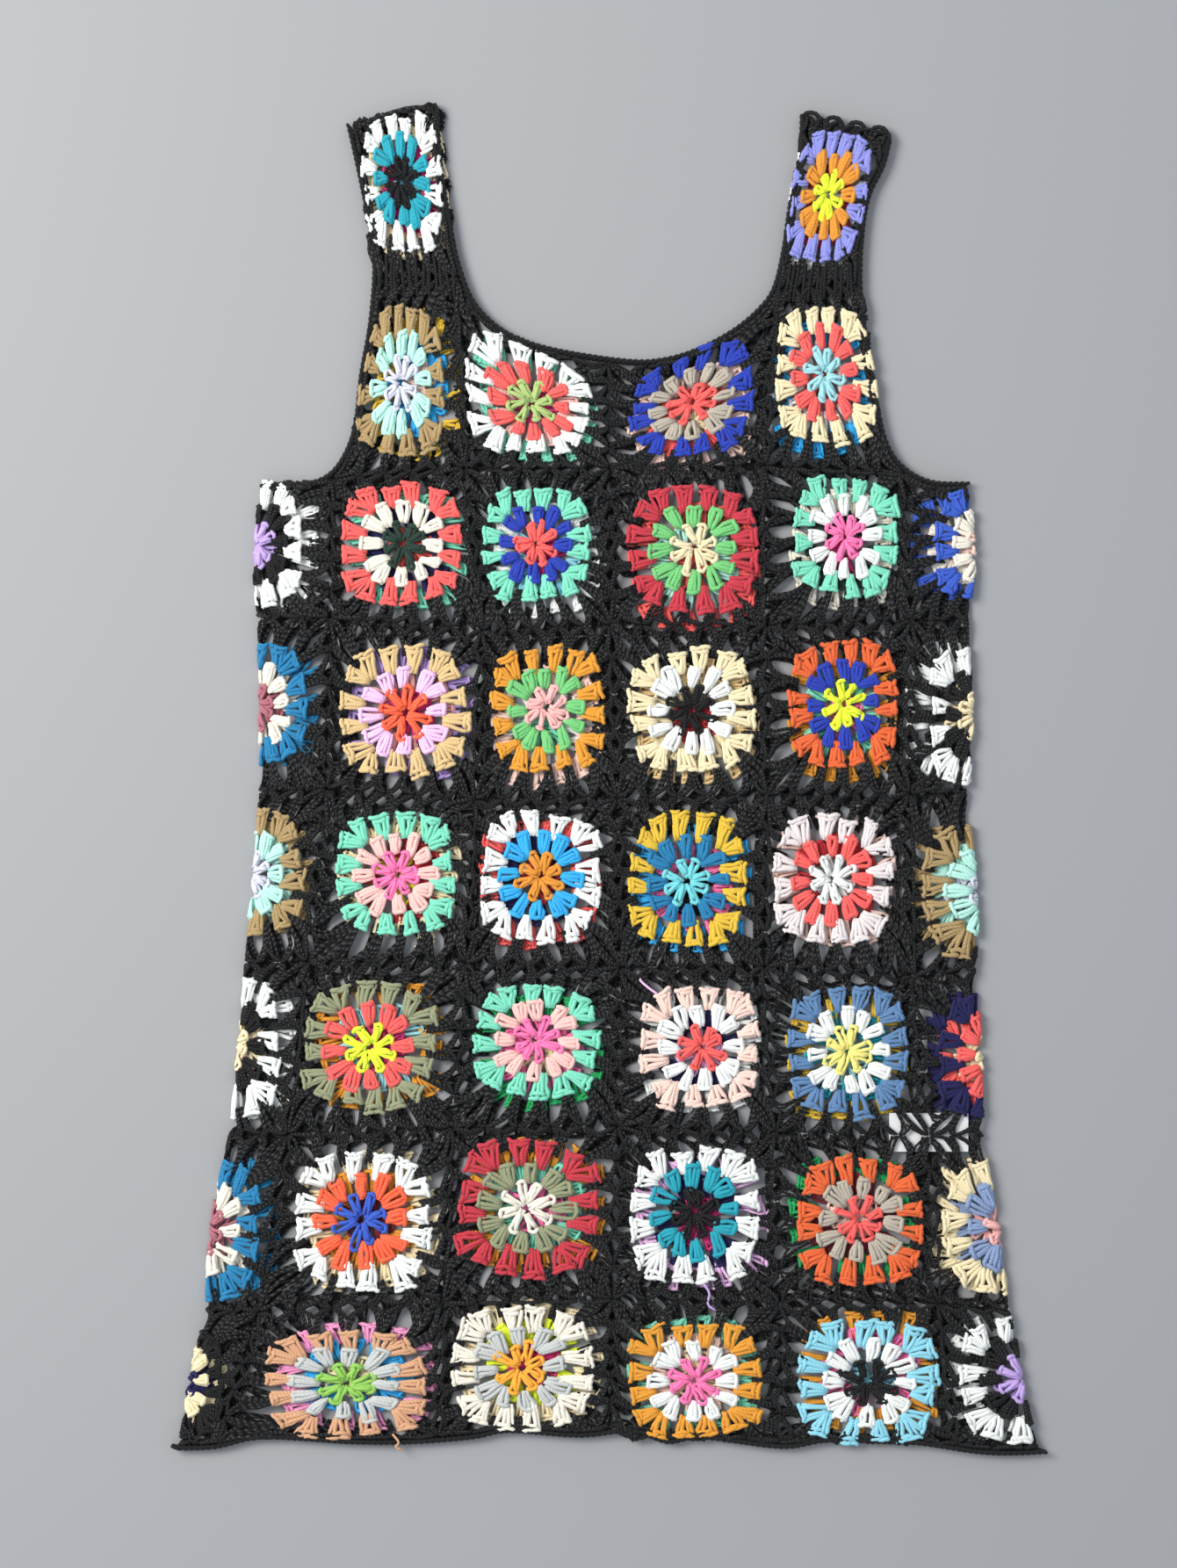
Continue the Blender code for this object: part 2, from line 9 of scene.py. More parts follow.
import bmesh
import bpy
import numpy as np
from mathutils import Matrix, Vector


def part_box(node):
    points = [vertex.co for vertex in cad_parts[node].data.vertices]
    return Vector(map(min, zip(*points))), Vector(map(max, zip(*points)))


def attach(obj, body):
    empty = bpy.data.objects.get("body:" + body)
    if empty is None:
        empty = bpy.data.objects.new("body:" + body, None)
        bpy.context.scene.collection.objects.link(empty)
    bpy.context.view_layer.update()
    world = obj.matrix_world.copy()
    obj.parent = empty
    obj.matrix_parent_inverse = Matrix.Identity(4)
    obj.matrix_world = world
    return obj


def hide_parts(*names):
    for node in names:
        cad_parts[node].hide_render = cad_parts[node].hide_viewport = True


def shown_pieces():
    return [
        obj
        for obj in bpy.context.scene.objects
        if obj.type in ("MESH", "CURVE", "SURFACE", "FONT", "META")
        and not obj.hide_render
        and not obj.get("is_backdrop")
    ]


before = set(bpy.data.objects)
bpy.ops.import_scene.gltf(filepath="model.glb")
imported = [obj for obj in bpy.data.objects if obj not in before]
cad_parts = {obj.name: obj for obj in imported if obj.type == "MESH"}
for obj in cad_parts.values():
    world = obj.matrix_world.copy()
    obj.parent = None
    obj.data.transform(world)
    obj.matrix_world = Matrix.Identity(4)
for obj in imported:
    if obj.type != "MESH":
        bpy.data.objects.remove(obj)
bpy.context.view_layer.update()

MM = 0.001
print("solid pieces:", len(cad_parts))

# %% [markdown]
# The photograph was taken from straight above. A camera could simply be moved until the
# picture looks right, but its height and lens can be worked out: the picture covers a
# known stretch of floor, and the lens has to fit that stretch on its sensor.

# %% The camera, straight above
PHOTO_PIXELS = (1340, 1785)
MM_PER_PIXEL = 0.545               # from the yarn, which is 2 mm thick
ORIGIN_PIXEL = (693.5, 886.5)      # where the middle of the dress is in the photograph
CAMERA_HEIGHT = 1.9


def put_in_scene(data, name):
    """A new object in the scene."""
    made = bpy.data.objects.new(name, data)
    bpy.context.scene.collection.objects.link(made)
    return made


lens = bpy.data.cameras.new("camera")
lens.lens = lens.sensor_width * CAMERA_HEIGHT / (PHOTO_PIXELS[1] * MM_PER_PIXEL * MM)
camera = put_in_scene(lens, "camera")
camera.location = (
    (PHOTO_PIXELS[0] / 2 - ORIGIN_PIXEL[0]) * MM_PER_PIXEL * MM,
    (ORIGIN_PIXEL[1] - PHOTO_PIXELS[1] / 2) * MM_PER_PIXEL * MM,
    CAMERA_HEIGHT,
)
bpy.context.scene.camera = camera
print("lens:", round(lens.lens, 1), "mm")

# %% [markdown]
# The light is a large soft window on the left, which gives each stitch a lit side and a
# short shadow, and a pale sky that fills the shadows. A small sun would draw hard edges
# that wool and cotton never show indoors. Colours are shown plainly, without a film look,
# because the yarns are bright and a film look would grey them.

# %% Light and colour
WINDOW_PLACE = Vector((-1.5, 0.7, 1.7))
WINDOW_SIZE = 1.1
WINDOW_WATTS = 60
WINDOW_COLOUR = (1.0, 0.97, 0.93)
SKY = (0.86, 0.92, 1.0)
SKY_STRENGTH = 0.7

window = bpy.data.lights.new("window", "AREA")
window.size = WINDOW_SIZE
window.energy = WINDOW_WATTS
window.color = WINDOW_COLOUR
window_object = put_in_scene(window, "window")
window_object.location = WINDOW_PLACE
window_object.rotation_euler = WINDOW_PLACE.to_track_quat("Z", "Y").to_euler()

world = bpy.data.worlds.new("sky")
world.use_nodes = True
background = world.node_tree.nodes["Background"]
background.inputs["Color"].default_value = (*SKY, 1)
background.inputs["Strength"].default_value = SKY_STRENGTH
bpy.context.scene.world = world
bpy.context.scene.view_settings.view_transform = "Standard"
print("window at", tuple(round(side, 2) for side in WINDOW_PLACE))

# %% [markdown]
# The floor is a plain pale sheet. It is made from a grid operator rather than a box,
# since only its top is ever seen, and it is marked as not being part of the dress.

# %% The floor
FLOOR_SIZE = 8.0
FLOOR_COLOUR = (0.335, 0.34, 0.35)
FLOOR_ROUGHNESS = 0.9
FLOOR_DROP = 0.9 * MM              # clear of the lowest stitches



def mesh_from(bm, name):
    """A mesh made from a bmesh, which is then freed."""
    mesh = bpy.data.meshes.new(name)
    bm.to_mesh(mesh)
    bm.free()
    return mesh


def new_material(name, settings):
    """A material with the plain settings of its shader; returns its nodes, links and shader too."""
    material = bpy.data.materials.new(name)
    material.use_nodes = True
    tree = material.node_tree
    shader = tree.nodes["Principled BSDF"]
    for setting, value in settings.items():
        shader.inputs[setting].default_value = value
    return material, tree.nodes, tree.links, shader


floor_bm = bmesh.new()
bmesh.ops.create_grid(floor_bm, x_segments=1, y_segments=1, size=FLOOR_SIZE / 2)
bmesh.ops.translate(floor_bm, vec=(0, 0, -FLOOR_DROP), verts=floor_bm.verts)
floor = put_in_scene(mesh_from(floor_bm, "floor"), "floor")
floor_look = {"Base Color": (*FLOOR_COLOUR, 1), "Roughness": FLOOR_ROUGHNESS}
floor.data.materials.append(new_material("floor", floor_look)[0])
floor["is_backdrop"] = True
print("floor:", FLOOR_SIZE, "m wide,", round(FLOOR_DROP / MM, 1), "mm below the dress")

# %% [markdown]
# ## The layout
# The dress is a tube of ten squares round and six long, with a yoke and two straps. Each
# square is pulled a little out of shape, so the crossings of the seams are measured, in
# millimetres, and everything else is worked out between them. These are the same
# measures as the solid model has, so the stitches lie where its walls are.

# %% Thicknesses and seams
WALL = 2.6 * MM
LAYER_GAP = 0.9 * MM
SEAM_GAP = 0.3 * MM
FRONT_BOTTOM = WALL + LAYER_GAP
EDGING_WIDTH = 4.0 * MM

SEAM_X = (                         # one row for each level, hem first; seven seams, left to right
    (-267, -242, -106, 0, 107, 216, 267),
    (-250, -217, -103, 2, 106, 204, 248),
    (-236, -199, -98, 5, 103, 198, 232),
    (-226, -187, -89, 7, 96, 188, 228),
    (-217, -175, -83, 5, 98, 186, 222),
    (-218, -173, -79, 1, 98, 187, 223),
    (-213, -170, -90, 0, 96, 183, 220),
)
SEAM_Y = (
    (-412, -411, -406, -402, -410, -412, -415),
    (-329, -330, -324, -322, -325, -325, -329),
    (-220, -220, -216, -215, -219, -221, -220),
    (-114, -113, -114, -117, -116, -122, -119),
    (-8, -6, -13, -12, -10, -9, -9),
    (99, 100, 92, 95, 95, 98, 98),
    (180, 184, 192, 192, 194, 188, 180),
)
TOP_LEVEL = len(SEAM_X) - 1
LAST_SEAM = len(SEAM_X[0]) - 1
ROWS = range(1, TOP_LEVEL + 1)
COLUMNS = range(1, 5)
BACK_SHIFT_X = (0, 5.5, 4.5, 0, -5.5, -6.5, 0)        # for each seam
BACK_SHIFT_Y = (0, 6, -6, -6, -6, -6, -1)             # for each level

# %% The edges of the garment
ARMHOLE_LEFT = (
    (-216, 184), (-197, 184), (-180, 186), (-168, 196), (-159, 217), (-155, 250),
    (-149, 285), (-147, 325), (-154, 364), (-160, 392), (-163, 405),
)
NECK = (
    (-105, 418), (-103, 381), (-98, 350), (-93, 323), (-84, 298), (-71, 283), (-54, 273),
    (-29, 266), (12, 260), (34, 261), (54, 267), (75, 278), (91, 291), (101, 305),
    (107, 330), (111, 358), (117, 380), (118, 411),
)
ARMHOLE_RIGHT = (
    (176, 399), (171, 379), (162, 360), (158, 335), (157, 305), (161, 268), (168, 228),
    (174, 206), (184, 193), (200, 185), (223, 184),
)
HEM = (
    (-271, -416), (-243, -415), (-214, -409), (-160, -412), (-122, -412), (-84, -409),
    (-62, -405), (-18, -408), (14, -405), (36, -412), (58, -409), (107, -415),
    (135, -411), (172, -412), (194, -413), (227, -418), (249, -419), (271, -418),
)
BACK_JOIN_DROP = 8                 # the straps join the back's yoke lower than the front's
STRAP_JOINS = {"left": ((-147, 308), (-90, 312)), "right": ((157, 306), (103, 304))}
NECK_LOW = (0, 261)
CURVE_STEPS = 4

# %% [markdown]
# The edges are soft curves, and a Catmull-Rom spline is the simplest one that passes
# through its own points. The helpers below find places on such a curve and copy it to
# one side, which is how the narrow trim and the squares share the same edge.

# %% Curves in the plane
def on_curve(before, start, end, after, t):
    """The Catmull-Rom curve from start to end, at t from 0 to 1; t is a number or an array."""
    return (
        start + 0.5 * t * (end - before)
        + t * t * (before - 2.5 * start + 2 * end - 0.5 * after)
        + t * t * t * (1.5 * (start - end) + 0.5 * (after - before))
    )


def smooth(table):
    """A smooth curve through the points of a table in millimetres, as points in metres."""
    points = [Vector(point) * MM for point in table]
    padded = [2 * points[0] - points[1], *points, 2 * points[-1] - points[-2]]
    curve = [
        on_curve(*run, step / CURVE_STEPS)
        for run in zip(padded, padded[1:], padded[2:], padded[3:]) for step in range(CURVE_STEPS)
    ]
    return [*curve, points[-1]]


def spline(points, count):
    """Evenly spread points of a smooth curve through a few points, as an array."""
    points = np.array(points, float)
    padded = np.vstack([2 * points[0] - points[1], points, 2 * points[-1] - points[-2]])
    places = np.linspace(0, len(points) - 1, count)
    index = np.minimum(places.astype(int), len(points) - 2)
    return on_curve(*(padded[index + step] for step in range(4)), (places - index)[:, None])


def mix(first, second, share):
    """From a first value, at share 0, to a second, at share 1."""
    return first * (1 - share) + second * share


def beside(curve, distance):
    """The same curve moved to its left by a distance, or to its right if negative."""
    moved = []
    for index, point in enumerate(curve):
        ahead = curve[min(index + 1, len(curve) - 1)]
        behind = curve[max(index - 1, 0)]
        way = (ahead - behind).normalized()
        moved.append(point + Vector((-way.y, way.x)) * distance)
    return moved


def locate(curve, point):
    """How far along a curve the nearest place to a point is, counted in its own points."""
    best = (math.inf, 0)
    for index, (start, end) in enumerate(zip(curve, curve[1:])):
        run = end - start
        fraction = min(max((point - start).dot(run) / run.length_squared, 0), 1)
        best = min(best, ((start + run * fraction - point).length, index + fraction))
    return best[1]


def point_at(curve, count):
    """The point of a curve at a place given by locate."""
    index = min(int(count), len(curve) - 2)
    return curve[index].lerp(curve[index + 1], count - index)


def nearest(curve, point):
    """The place on a curve nearest to a point."""
    return point_at(curve, locate(curve, point))


def stretch(curve, start, end):
    """The stretch of a curve between the places nearest to two points, either way round."""
    first, last = locate(curve, start), locate(curve, end)
    low, high = min(first, last), max(first, last)
    inside = curve[math.floor(low) + 1:math.ceil(high)]
    part = [point_at(curve, low), *inside, point_at(curve, high)]
    return part if first <= last else part[::-1]


def along(run, t):
    """The points at t, from 0 to 1, along a run of points; t is an array."""
    points = np.array([tuple(point) for point in run])
    lengths = np.linalg.norm(np.diff(points, axis=0), axis=1)
    marks = np.concatenate([[0], np.cumsum(lengths)]) / lengths.sum()
    return np.stack([np.interp(t, marks, points[:, axis]) for axis in (0, 1)], axis=-1)


INNER_EDGE = EDGING_WIDTH + SEAM_GAP / 2
OUTER_EDGES = {
    "armhole_left": smooth(ARMHOLE_LEFT),
    "neck": smooth(NECK),
    "armhole_right": smooth(ARMHOLE_RIGHT),
    "hem": smooth(HEM),
}
# The curves run left to right, so the cloth is on the right of all of them but the hem
CLOTH_SIDE = {"armhole_left": -1, "neck": -1, "armhole_right": -1, "hem": 1}
EDGES = {
    name: beside(curve, CLOTH_SIDE[name] * INNER_EDGE) for name, curve in OUTER_EDGES.items()
}
print("edge points:", {name: len(curve) for name, curve in EDGES.items()})

# %% [markdown]
# A square is known by its four sides, each a run of points. Inside the body the sides are
# straight from crossing to crossing, and along the neck, armholes and hem they follow the
# edge. The back panel uses the same crossings moved by a few millimetres, as it lies.

# %% The four sides of each square
def edge_under(level, seam):
    """The outer edge that a seam crossing lies on, or None inside the garment."""
    if level == 0:
        return "hem"
    if level == TOP_LEVEL and seam <= 1:
        return "armhole_left"
    if level == TOP_LEVEL and seam >= LAST_SEAM - 1:
        return "armhole_right"
    return None


def crossing(layer, level, seam):
    """Where a seam crosses a level, on the front or the back layer."""
    x, y = SEAM_X[level][seam], SEAM_Y[level][seam]
    if layer == "back" and 0 < seam < LAST_SEAM:
        x += BACK_SHIFT_X[seam]
        y += BACK_SHIFT_Y[level]
    point = Vector((x, y)) * MM
    edge = edge_under(level, seam)
    return nearest(EDGES[edge], point) if edge else point


def join(layer, level, seam):
    """The join below a row of squares, from one seam to the next on its right."""
    start, end = crossing(layer, level, seam), crossing(layer, level, seam + 1)
    edge = edge_under(level, seam)
    if edge and edge == edge_under(level, seam + 1):
        return stretch(EDGES[edge], start, end)
    return [start, end]


def four_sides(bottom, top, left=None, right=None):
    """The sides of a square, each a run of points, left to right or bottom to top."""
    left = left or [bottom[0], top[0]]
    right = right or [bottom[-1], top[-1]]
    return {"bottom": bottom, "top": top, "left": left, "right": right}


def body_square(layer, row, column):
    """The sides of a square of the body; columns 0 and 5 are the halves at the two folds."""
    level = TOP_LEVEL - row
    return four_sides(join(layer, level, column), join(layer, level + 1, column))


def strap_join(side, layer):
    """The join of a strap and the yoke, from left to right, on the inner line of the edges."""
    drop = Vector((0, BACK_JOIN_DROP * MM if layer == "back" else 0))
    outer, inner = [Vector(point) * MM - drop for point in STRAP_JOINS[side]]
    ends = [nearest(EDGES["armhole_" + side], outer), nearest(EDGES["neck"], inner)]
    return ends if side == "left" else ends[::-1]


def yoke_square(layer, column):
    """The sides of a square of the yoke, which neck and armholes pull to shape."""
    bottom = join(layer, TOP_LEVEL, column)
    left_join, right_join = strap_join("left", layer), strap_join("right", layer)
    if column == 1:
        left = stretch(EDGES["armhole_left"], bottom[0], left_join[0])
        return four_sides(bottom, left_join, left=left)
    if column == 4:
        right = stretch(EDGES["armhole_right"], bottom[-1], right_join[1])
        return four_sides(bottom, right_join, right=right)
    low = nearest(EDGES["neck"], Vector(NECK_LOW) * MM)
    ends = (left_join[1], low) if column == 2 else (low, right_join[0])
    return four_sides(bottom, stretch(EDGES["neck"], *ends))


def strap_square(side, layer):
    """The sides of a strap, between the neck and an armhole, from the yoke to the shoulder."""
    bottom = strap_join(side, layer)
    neck, armhole = EDGES["neck"], EDGES["armhole_" + side]
    if side == "left":
        left = stretch(armhole, bottom[0], armhole[-1])
        right = stretch(neck, bottom[1], neck[0])
    else:
        left = stretch(neck, bottom[0], neck[-1])
        right = stretch(armhole, bottom[1], armhole[0])
    return four_sides(bottom, [left[-1], right[-1]], left, right)


# %% Carry a point into a square
def place_in(square, uv):
    """Carry points of a square's own units, -1 to 1 both ways, between its four sides."""
    s, t = (uv[..., :1] + 1) / 2, (uv[..., 1:2] + 1) / 2
    across = mix(along(square["bottom"], s[..., 0]), along(square["top"], s[..., 0]), t)
    upward = mix(along(square["left"], t[..., 0]), along(square["right"], t[..., 0]), s)
    corners = [np.array(square[side][end]) for side in ("bottom", "top") for end in (0, -1)]
    low, high = mix(corners[0], corners[1], s), mix(corners[2], corners[3], s)
    return across + upward - low * (1 - t) - high * t


first_middle = place_in(body_square("front", 1, 1), np.zeros(2))
print("first square's middle, mm:", (first_middle / MM).round(1))

# %% [markdown]
# ## The yarn
# Every stitch is made of short lengths of the same cotton yarn. One length is modelled
# once, as a closed tube with narrowed ends: a cone operator with equal ends makes it, and
# cutting it across gives it the rings that it needs to bend. It is only a few dozen
# faces, because each square repeats it hundreds of times. Its map runs along the yarn one
# way and round it the other, for the twist of the plies.

# %% One length of yarn
YARN_RADIUS = 1.15 * MM
YARN_SIDES, YARN_RINGS = 5, 5
BACK_SIDES, BACK_RINGS = 4, 4      # the back is seen less, so its yarn is plainer
YARN_FLAT = 0.85                   # it is pressed a little flat
END_NARROWING = 0.84               # the ends of a length are a little thinner


def yarn_length(sides, rings):
    """A closed tube one unit thick, with its rings at whole heights from 0."""
    bm = bmesh.new()
    bmesh.ops.create_cone(
        bm, cap_ends=True, cap_tris=False, segments=sides, radius1=1, radius2=1, depth=rings - 1
    )
    bmesh.ops.translate(bm, vec=(0, 0, (rings - 1) / 2), verts=bm.verts)
    for ring in range(1, rings - 1):
        bmesh.ops.bisect_plane(
            bm, geom=bm.verts[:] + bm.edges[:] + bm.faces[:], dist=1e-6,
            plane_co=(0, 0, ring), plane_no=(0, 0, 1),
        )
    bmesh.ops.recalc_face_normals(bm, faces=bm.faces)
    yarn_map = bm.loops.layers.uv.new("yarn")
    for face in bm.faces:
        turns = [math.atan2(loop.vert.co.y, loop.vert.co.x) / math.tau for loop in face.loops]
        for loop, turn in zip(face.loops, turns):
            wraps = max(turns) - min(turns) > 0.5 and turn < 0
            loop[yarn_map].uv = (loop.vert.co.z, turn + (1 if wraps else 0))
        face.smooth = True
    return mesh_from(bm, "yarn length")


print("faces in one length:", len(yarn_length(YARN_SIDES, YARN_RINGS).polygons))

# %% [markdown]
# ## The stitches
# A granny square has four rounds. The first is a flower of eight petals, the second
# twelve puffs, the third sixteen fans and the last twenty black lace fans, five to a side,
# which are joined to the neighbour's. Each stitch is a few lengths of yarn. A length is
# drawn by three or four points in the stitch's own measures: across it, where 1 is its
# edge, along it, where 0 is its foot and 1 its head, and how high it runs, in millimetres.

# %% The lengths of yarn of each kind of stitch
PETAL = (
    ((-0.9, 0.00, 1.3), (-0.9, 0.50, 1.6), (-1.0, 0.97, 1.5)),
    ((0.9, 0.00, 1.3), (0.9, 0.50, 1.6), (1.0, 0.97, 1.5)),
    ((-0.8, 0.15, 1.9), (0.1, 0.45, 2.5), (0.6, 0.85, 2.2)),
    ((-1.5, 0.86, 1.5), (0.0, 1.00, 2.5), (1.5, 0.88, 1.6)),
)
PUFF = (
    ((-0.60, 0.02, 1.2), (-0.90, 0.35, 1.5), (-1.02, 0.76, 1.6), (-0.62, 1.00, 1.8)),
    ((0.60, 0.02, 1.2), (0.90, 0.35, 1.5), (1.02, 0.76, 1.6), (0.62, 1.00, 1.8)),
    ((-0.15, 0.00, 1.5), (-0.38, 0.42, 2.3), (-0.36, 0.97, 2.3)),
    ((0.20, 0.02, 1.5), (0.38, 0.45, 2.2), (0.36, 0.97, 2.2)),
    ((-1.08, 0.88, 2.1), (-0.1, 0.92, 2.9), (1.08, 0.90, 2.1)),
)
FAN = (
    ((-0.70, 0.00, 1.2), (-0.88, 0.50, 1.6), (-0.98, 0.94, 1.7)),
    ((0.70, 0.00, 1.2), (0.88, 0.50, 1.6), (0.98, 0.94, 1.7)),
    ((-0.22, 0.02, 1.5), (-0.36, 0.45, 2.2), (-0.46, 0.96, 2.0)),
    ((0.24, 0.02, 1.5), (0.38, 0.45, 2.1), (0.46, 0.96, 2.0)),
    ((-1.10, 1.01, 1.7), (-0.55, 1.00, 2.4), (0.16, 0.92, 2.7)),
    ((-0.18, 0.98, 2.3), (0.60, 0.95, 2.7), (1.10, 1.01, 1.8)),
    ((-0.84, 0.86, 1.9), (-0.10, 0.80, 2.6), (0.84, 0.87, 1.9)),
)
LACE = (
    ((-0.85, 0.00, 1.3), (-0.90, 0.40, 1.9), (-0.95, 0.72, 1.5), (-1.0, 0.98, 1.7)),
    ((-0.25, 0.02, 1.7), (-0.35, 0.40, 1.4), (-0.50, 0.72, 2.2), (-0.62, 0.98, 1.6)),
    ((0.85, 0.00, 1.3), (0.90, 0.40, 1.8), (0.95, 0.72, 1.5), (1.0, 0.98, 1.7)),
    ((0.25, 0.03, 1.7), (0.35, 0.41, 1.4), (0.50, 0.73, 2.1), (0.62, 0.98, 1.6)),
    ((-1.02, 0.96, 1.7), (-0.78, 0.94, 2.4), (-0.42, 0.82, 2.5), (0.15, 0.66, 2.2)),
    ((-0.15, 0.66, 2.1), (0.42, 0.83, 2.5), (0.78, 0.94, 2.4), (1.02, 0.96, 1.7)),
)

# %% [markdown]
# Now the stitches are laid out in the chart of one square, which runs from -1 to 1 both
# ways. A round's heads lie on a circle that grows squarer outwards. Feet stand in the gaps
# of the round before, so at the corners two stitches share one foot. The angles are those
# of one quarter of the square.

# %% Where the stitches of a square stand
CHART_MM = 48.5                    # millimetres in one unit of the chart, on a usual square
ROUNDS_REACH = 0.76                # how far the coloured rounds reach
QUARTERS = range(4)
# Stitch; reach, squareness and degrees of its feet and of its heads; widths and radius in mm
COLOURED_ROUNDS = (
    (PETAL, (0.04, 0, (22.5, 67.5)), (0.292, 0, (22.5, 67.5)), (1.1, 2.0), 1.32),
    (PUFF, (0.26, 0.2, (0, 38, 52)), (0.522, 0.42, (0, 30, 60)), (2.3, 3.7), 1.42),
    (FAN, (0.45, 0.6, (-15, 15, 43, 47)), (0.742, 0.5, (-11.25, 11.25, 34.5, 55.5)), (2.6, 5.1), 1.42),
)
FLARE = 1.5                        # how late a stitch widens: 1 is evenly, more is later
LACE_FEET = (0.645, 0.45)          # reach and squareness
LACE_PLACES = ((-0.8, -43), (-0.4, -22.5), (0.0, 0), (0.4, 22.5), (0.8, 43))    # head, foot
LACE_WIDTHS = (1.6 / CHART_MM, 0.2)    # at its head a lace fan takes a fifth of the side
LACE_RADIUS = 1.22
LACE_FLARE = 3.4


def squared(degrees, reach, squareness):
    """A point of a rounded square: squareness 0 is a circle, 1 a square."""
    x, y = math.cos(math.radians(degrees)), math.sin(math.radians(degrees))
    grown = reach * (1 - squareness + squareness / max(abs(x), abs(y)))
    return Vector((x * grown, y * grown))


def turned(point, quarter):
    """A point turned round the middle by some quarters of a turn."""
    turn = math.radians(90 * quarter)
    return Vector((
        point[0] * math.cos(turn) - point[1] * math.sin(turn),
        point[0] * math.sin(turn) + point[1] * math.cos(turn),
    ))


def coloured_round(kind, feet, heads, widths, radius):
    """The stitches of a coloured round."""
    made = []
    for quarter in QUARTERS:
        for foot_degrees, head_degrees in zip(feet[2], heads[2]):
            made.append({
                "kind": kind,
                "foot": squared(90 * quarter + foot_degrees, *feet[:2]),
                "head": squared(90 * quarter + head_degrees, *heads[:2]),
                "widths": [width / CHART_MM for width in widths],
                "flare": FLARE,
                "radius": radius * MM,
            })
    return made


def lace_round():
    """The black round: five fans on each side, from the gaps of the fans before to the join."""
    made = []
    for quarter in QUARTERS:
        for place, foot_degrees in LACE_PLACES:
            made.append({
                "kind": LACE,
                "foot": turned(squared(foot_degrees, *LACE_FEET), quarter),
                "head": turned((1.0, place), quarter),
                "side": turned((0, 1), quarter),
                "widths": LACE_WIDTHS,
                "flare": LACE_FLARE,
                "radius": LACE_RADIUS * MM,
            })
    return made


ROUNDS = (*[coloured_round(*values) for values in COLOURED_ROUNDS], lace_round())
LACE_INDEX = len(ROUNDS) - 1
print("stitches in each round:", [len(made) for made in ROUNDS])

# %% [markdown]
# The chart becomes one mesh. A copy of the yarn's length is added for each length of each
# stitch, and beside the mesh the course of each length is kept: the points that its rings
# stand at. To make any square of the dress, those courses are carried to their place and
# the rings are stood on them again. So the yarn keeps its thickness however a square is
# pulled, which it wouldn't if the finished mesh were stretched.

# %% The chart of one square
def course_of(stitch, strand, rings):
    """The course of one length of a stitch, in the chart's units and metres of height."""
    across, share, height = spline(strand, rings).T
    foot, head = np.array(stitch["foot"]), np.array(stitch["head"])
    way = (head - foot) / np.linalg.norm(head - foot)
    aside = np.array([-way[1], way[0]])
    low, high = stitch["widths"]
    if "side" in stitch:           # a lace fan's head lies along the join
        slant = np.clip(share, 0, 1)[:, None]
        aside = mix(aside, np.array(stitch["side"]), slant)
    width = (low + (high - low) * np.abs(share) ** stitch["flare"])[:, None]
    line = np.column_stack([foot + (head - foot) * share[:, None], height * MM])
    return line, aside * across[:, None] * width


def many_lengths(count, sides, rings):
    """A number of lengths of yarn in one mesh, and where its vertices are on them."""
    length = yarn_length(sides, rings)
    bm = bmesh.new()
    for _ in range(count):
        bm.from_mesh(length)
    places = np.array([vert.co for vert in length.vertices])
    return {
        "mesh": mesh_from(bm, "lengths of yarn"),
        "faces": len(length.polygons),
        "ring": places[:, 2].round().astype(int),
        "angle": np.arctan2(places[:, 1], places[:, 0]),
        "rings": rings,
    }


def chart_of(rounds, sides, rings, thinning=1.0, lace_thinning=1.0):
    """Some rounds of a square: one mesh, and the courses of its lengths of yarn."""
    stitches = [(index, stitch) for index in rounds for stitch in ROUNDS[index]]
    strands = [
        (number, index, stitch, strand)
        for number, (index, stitch) in enumerate(stitches) for strand in stitch["kind"]
    ]
    numbers, indexes, owners, shapes = zip(*strands)
    courses = [course_of(stitch, strand, rings) for stitch, strand in zip(owners, shapes)]
    chart = many_lengths(len(strands), sides, rings)
    chart["lines"] = np.array([line for line, _ in courses])
    chart["offsets"] = np.array([offset for _, offset in courses])
    chart["share"] = np.array([spline(strand, rings)[:, 1] for strand in shapes])
    chart["round"] = np.array(indexes)
    chart["stitch"] = np.array(numbers)
    radius = np.array([stitch["radius"] for stitch in owners])
    chart["radius"] = radius * np.where(chart["round"] == LACE_INDEX, lace_thinning, thinning)
    yarn_numbers = np.repeat(indexes, chart["faces"])
    chart["mesh"].polygons.foreach_set("material_index", yarn_numbers)
    return chart


LACED, FLOWER = (2, 3), (0, 1)     # the fans with their lace, and the raised middle
BACK_YARN = (BACK_SIDES, BACK_RINGS, 0.9, 0.75)    # thinner too, and the lace most of all
front_charts = [chart_of(rounds, YARN_SIDES, YARN_RINGS) for rounds in (LACED, FLOWER)]
back_charts = [chart_of(rounds, *BACK_YARN) for rounds in (LACED, FLOWER)]
for chart in (*front_charts, *back_charts):
    triangles = sum(len(face.vertices) - 2 for face in chart["mesh"].polygons)
    print("lengths:", len(chart["lines"]), "triangles:", triangles)

# %% [markdown]
# Hand work is never even. Before a square is carried to its place, each stitch gets a
# small shift at its foot and at its head, and each round is twisted a little, as it is in
# crochet because the stitches lean. The numbers are random but seeded, so each run gives
# the same dress. The outer ends stay on the join.

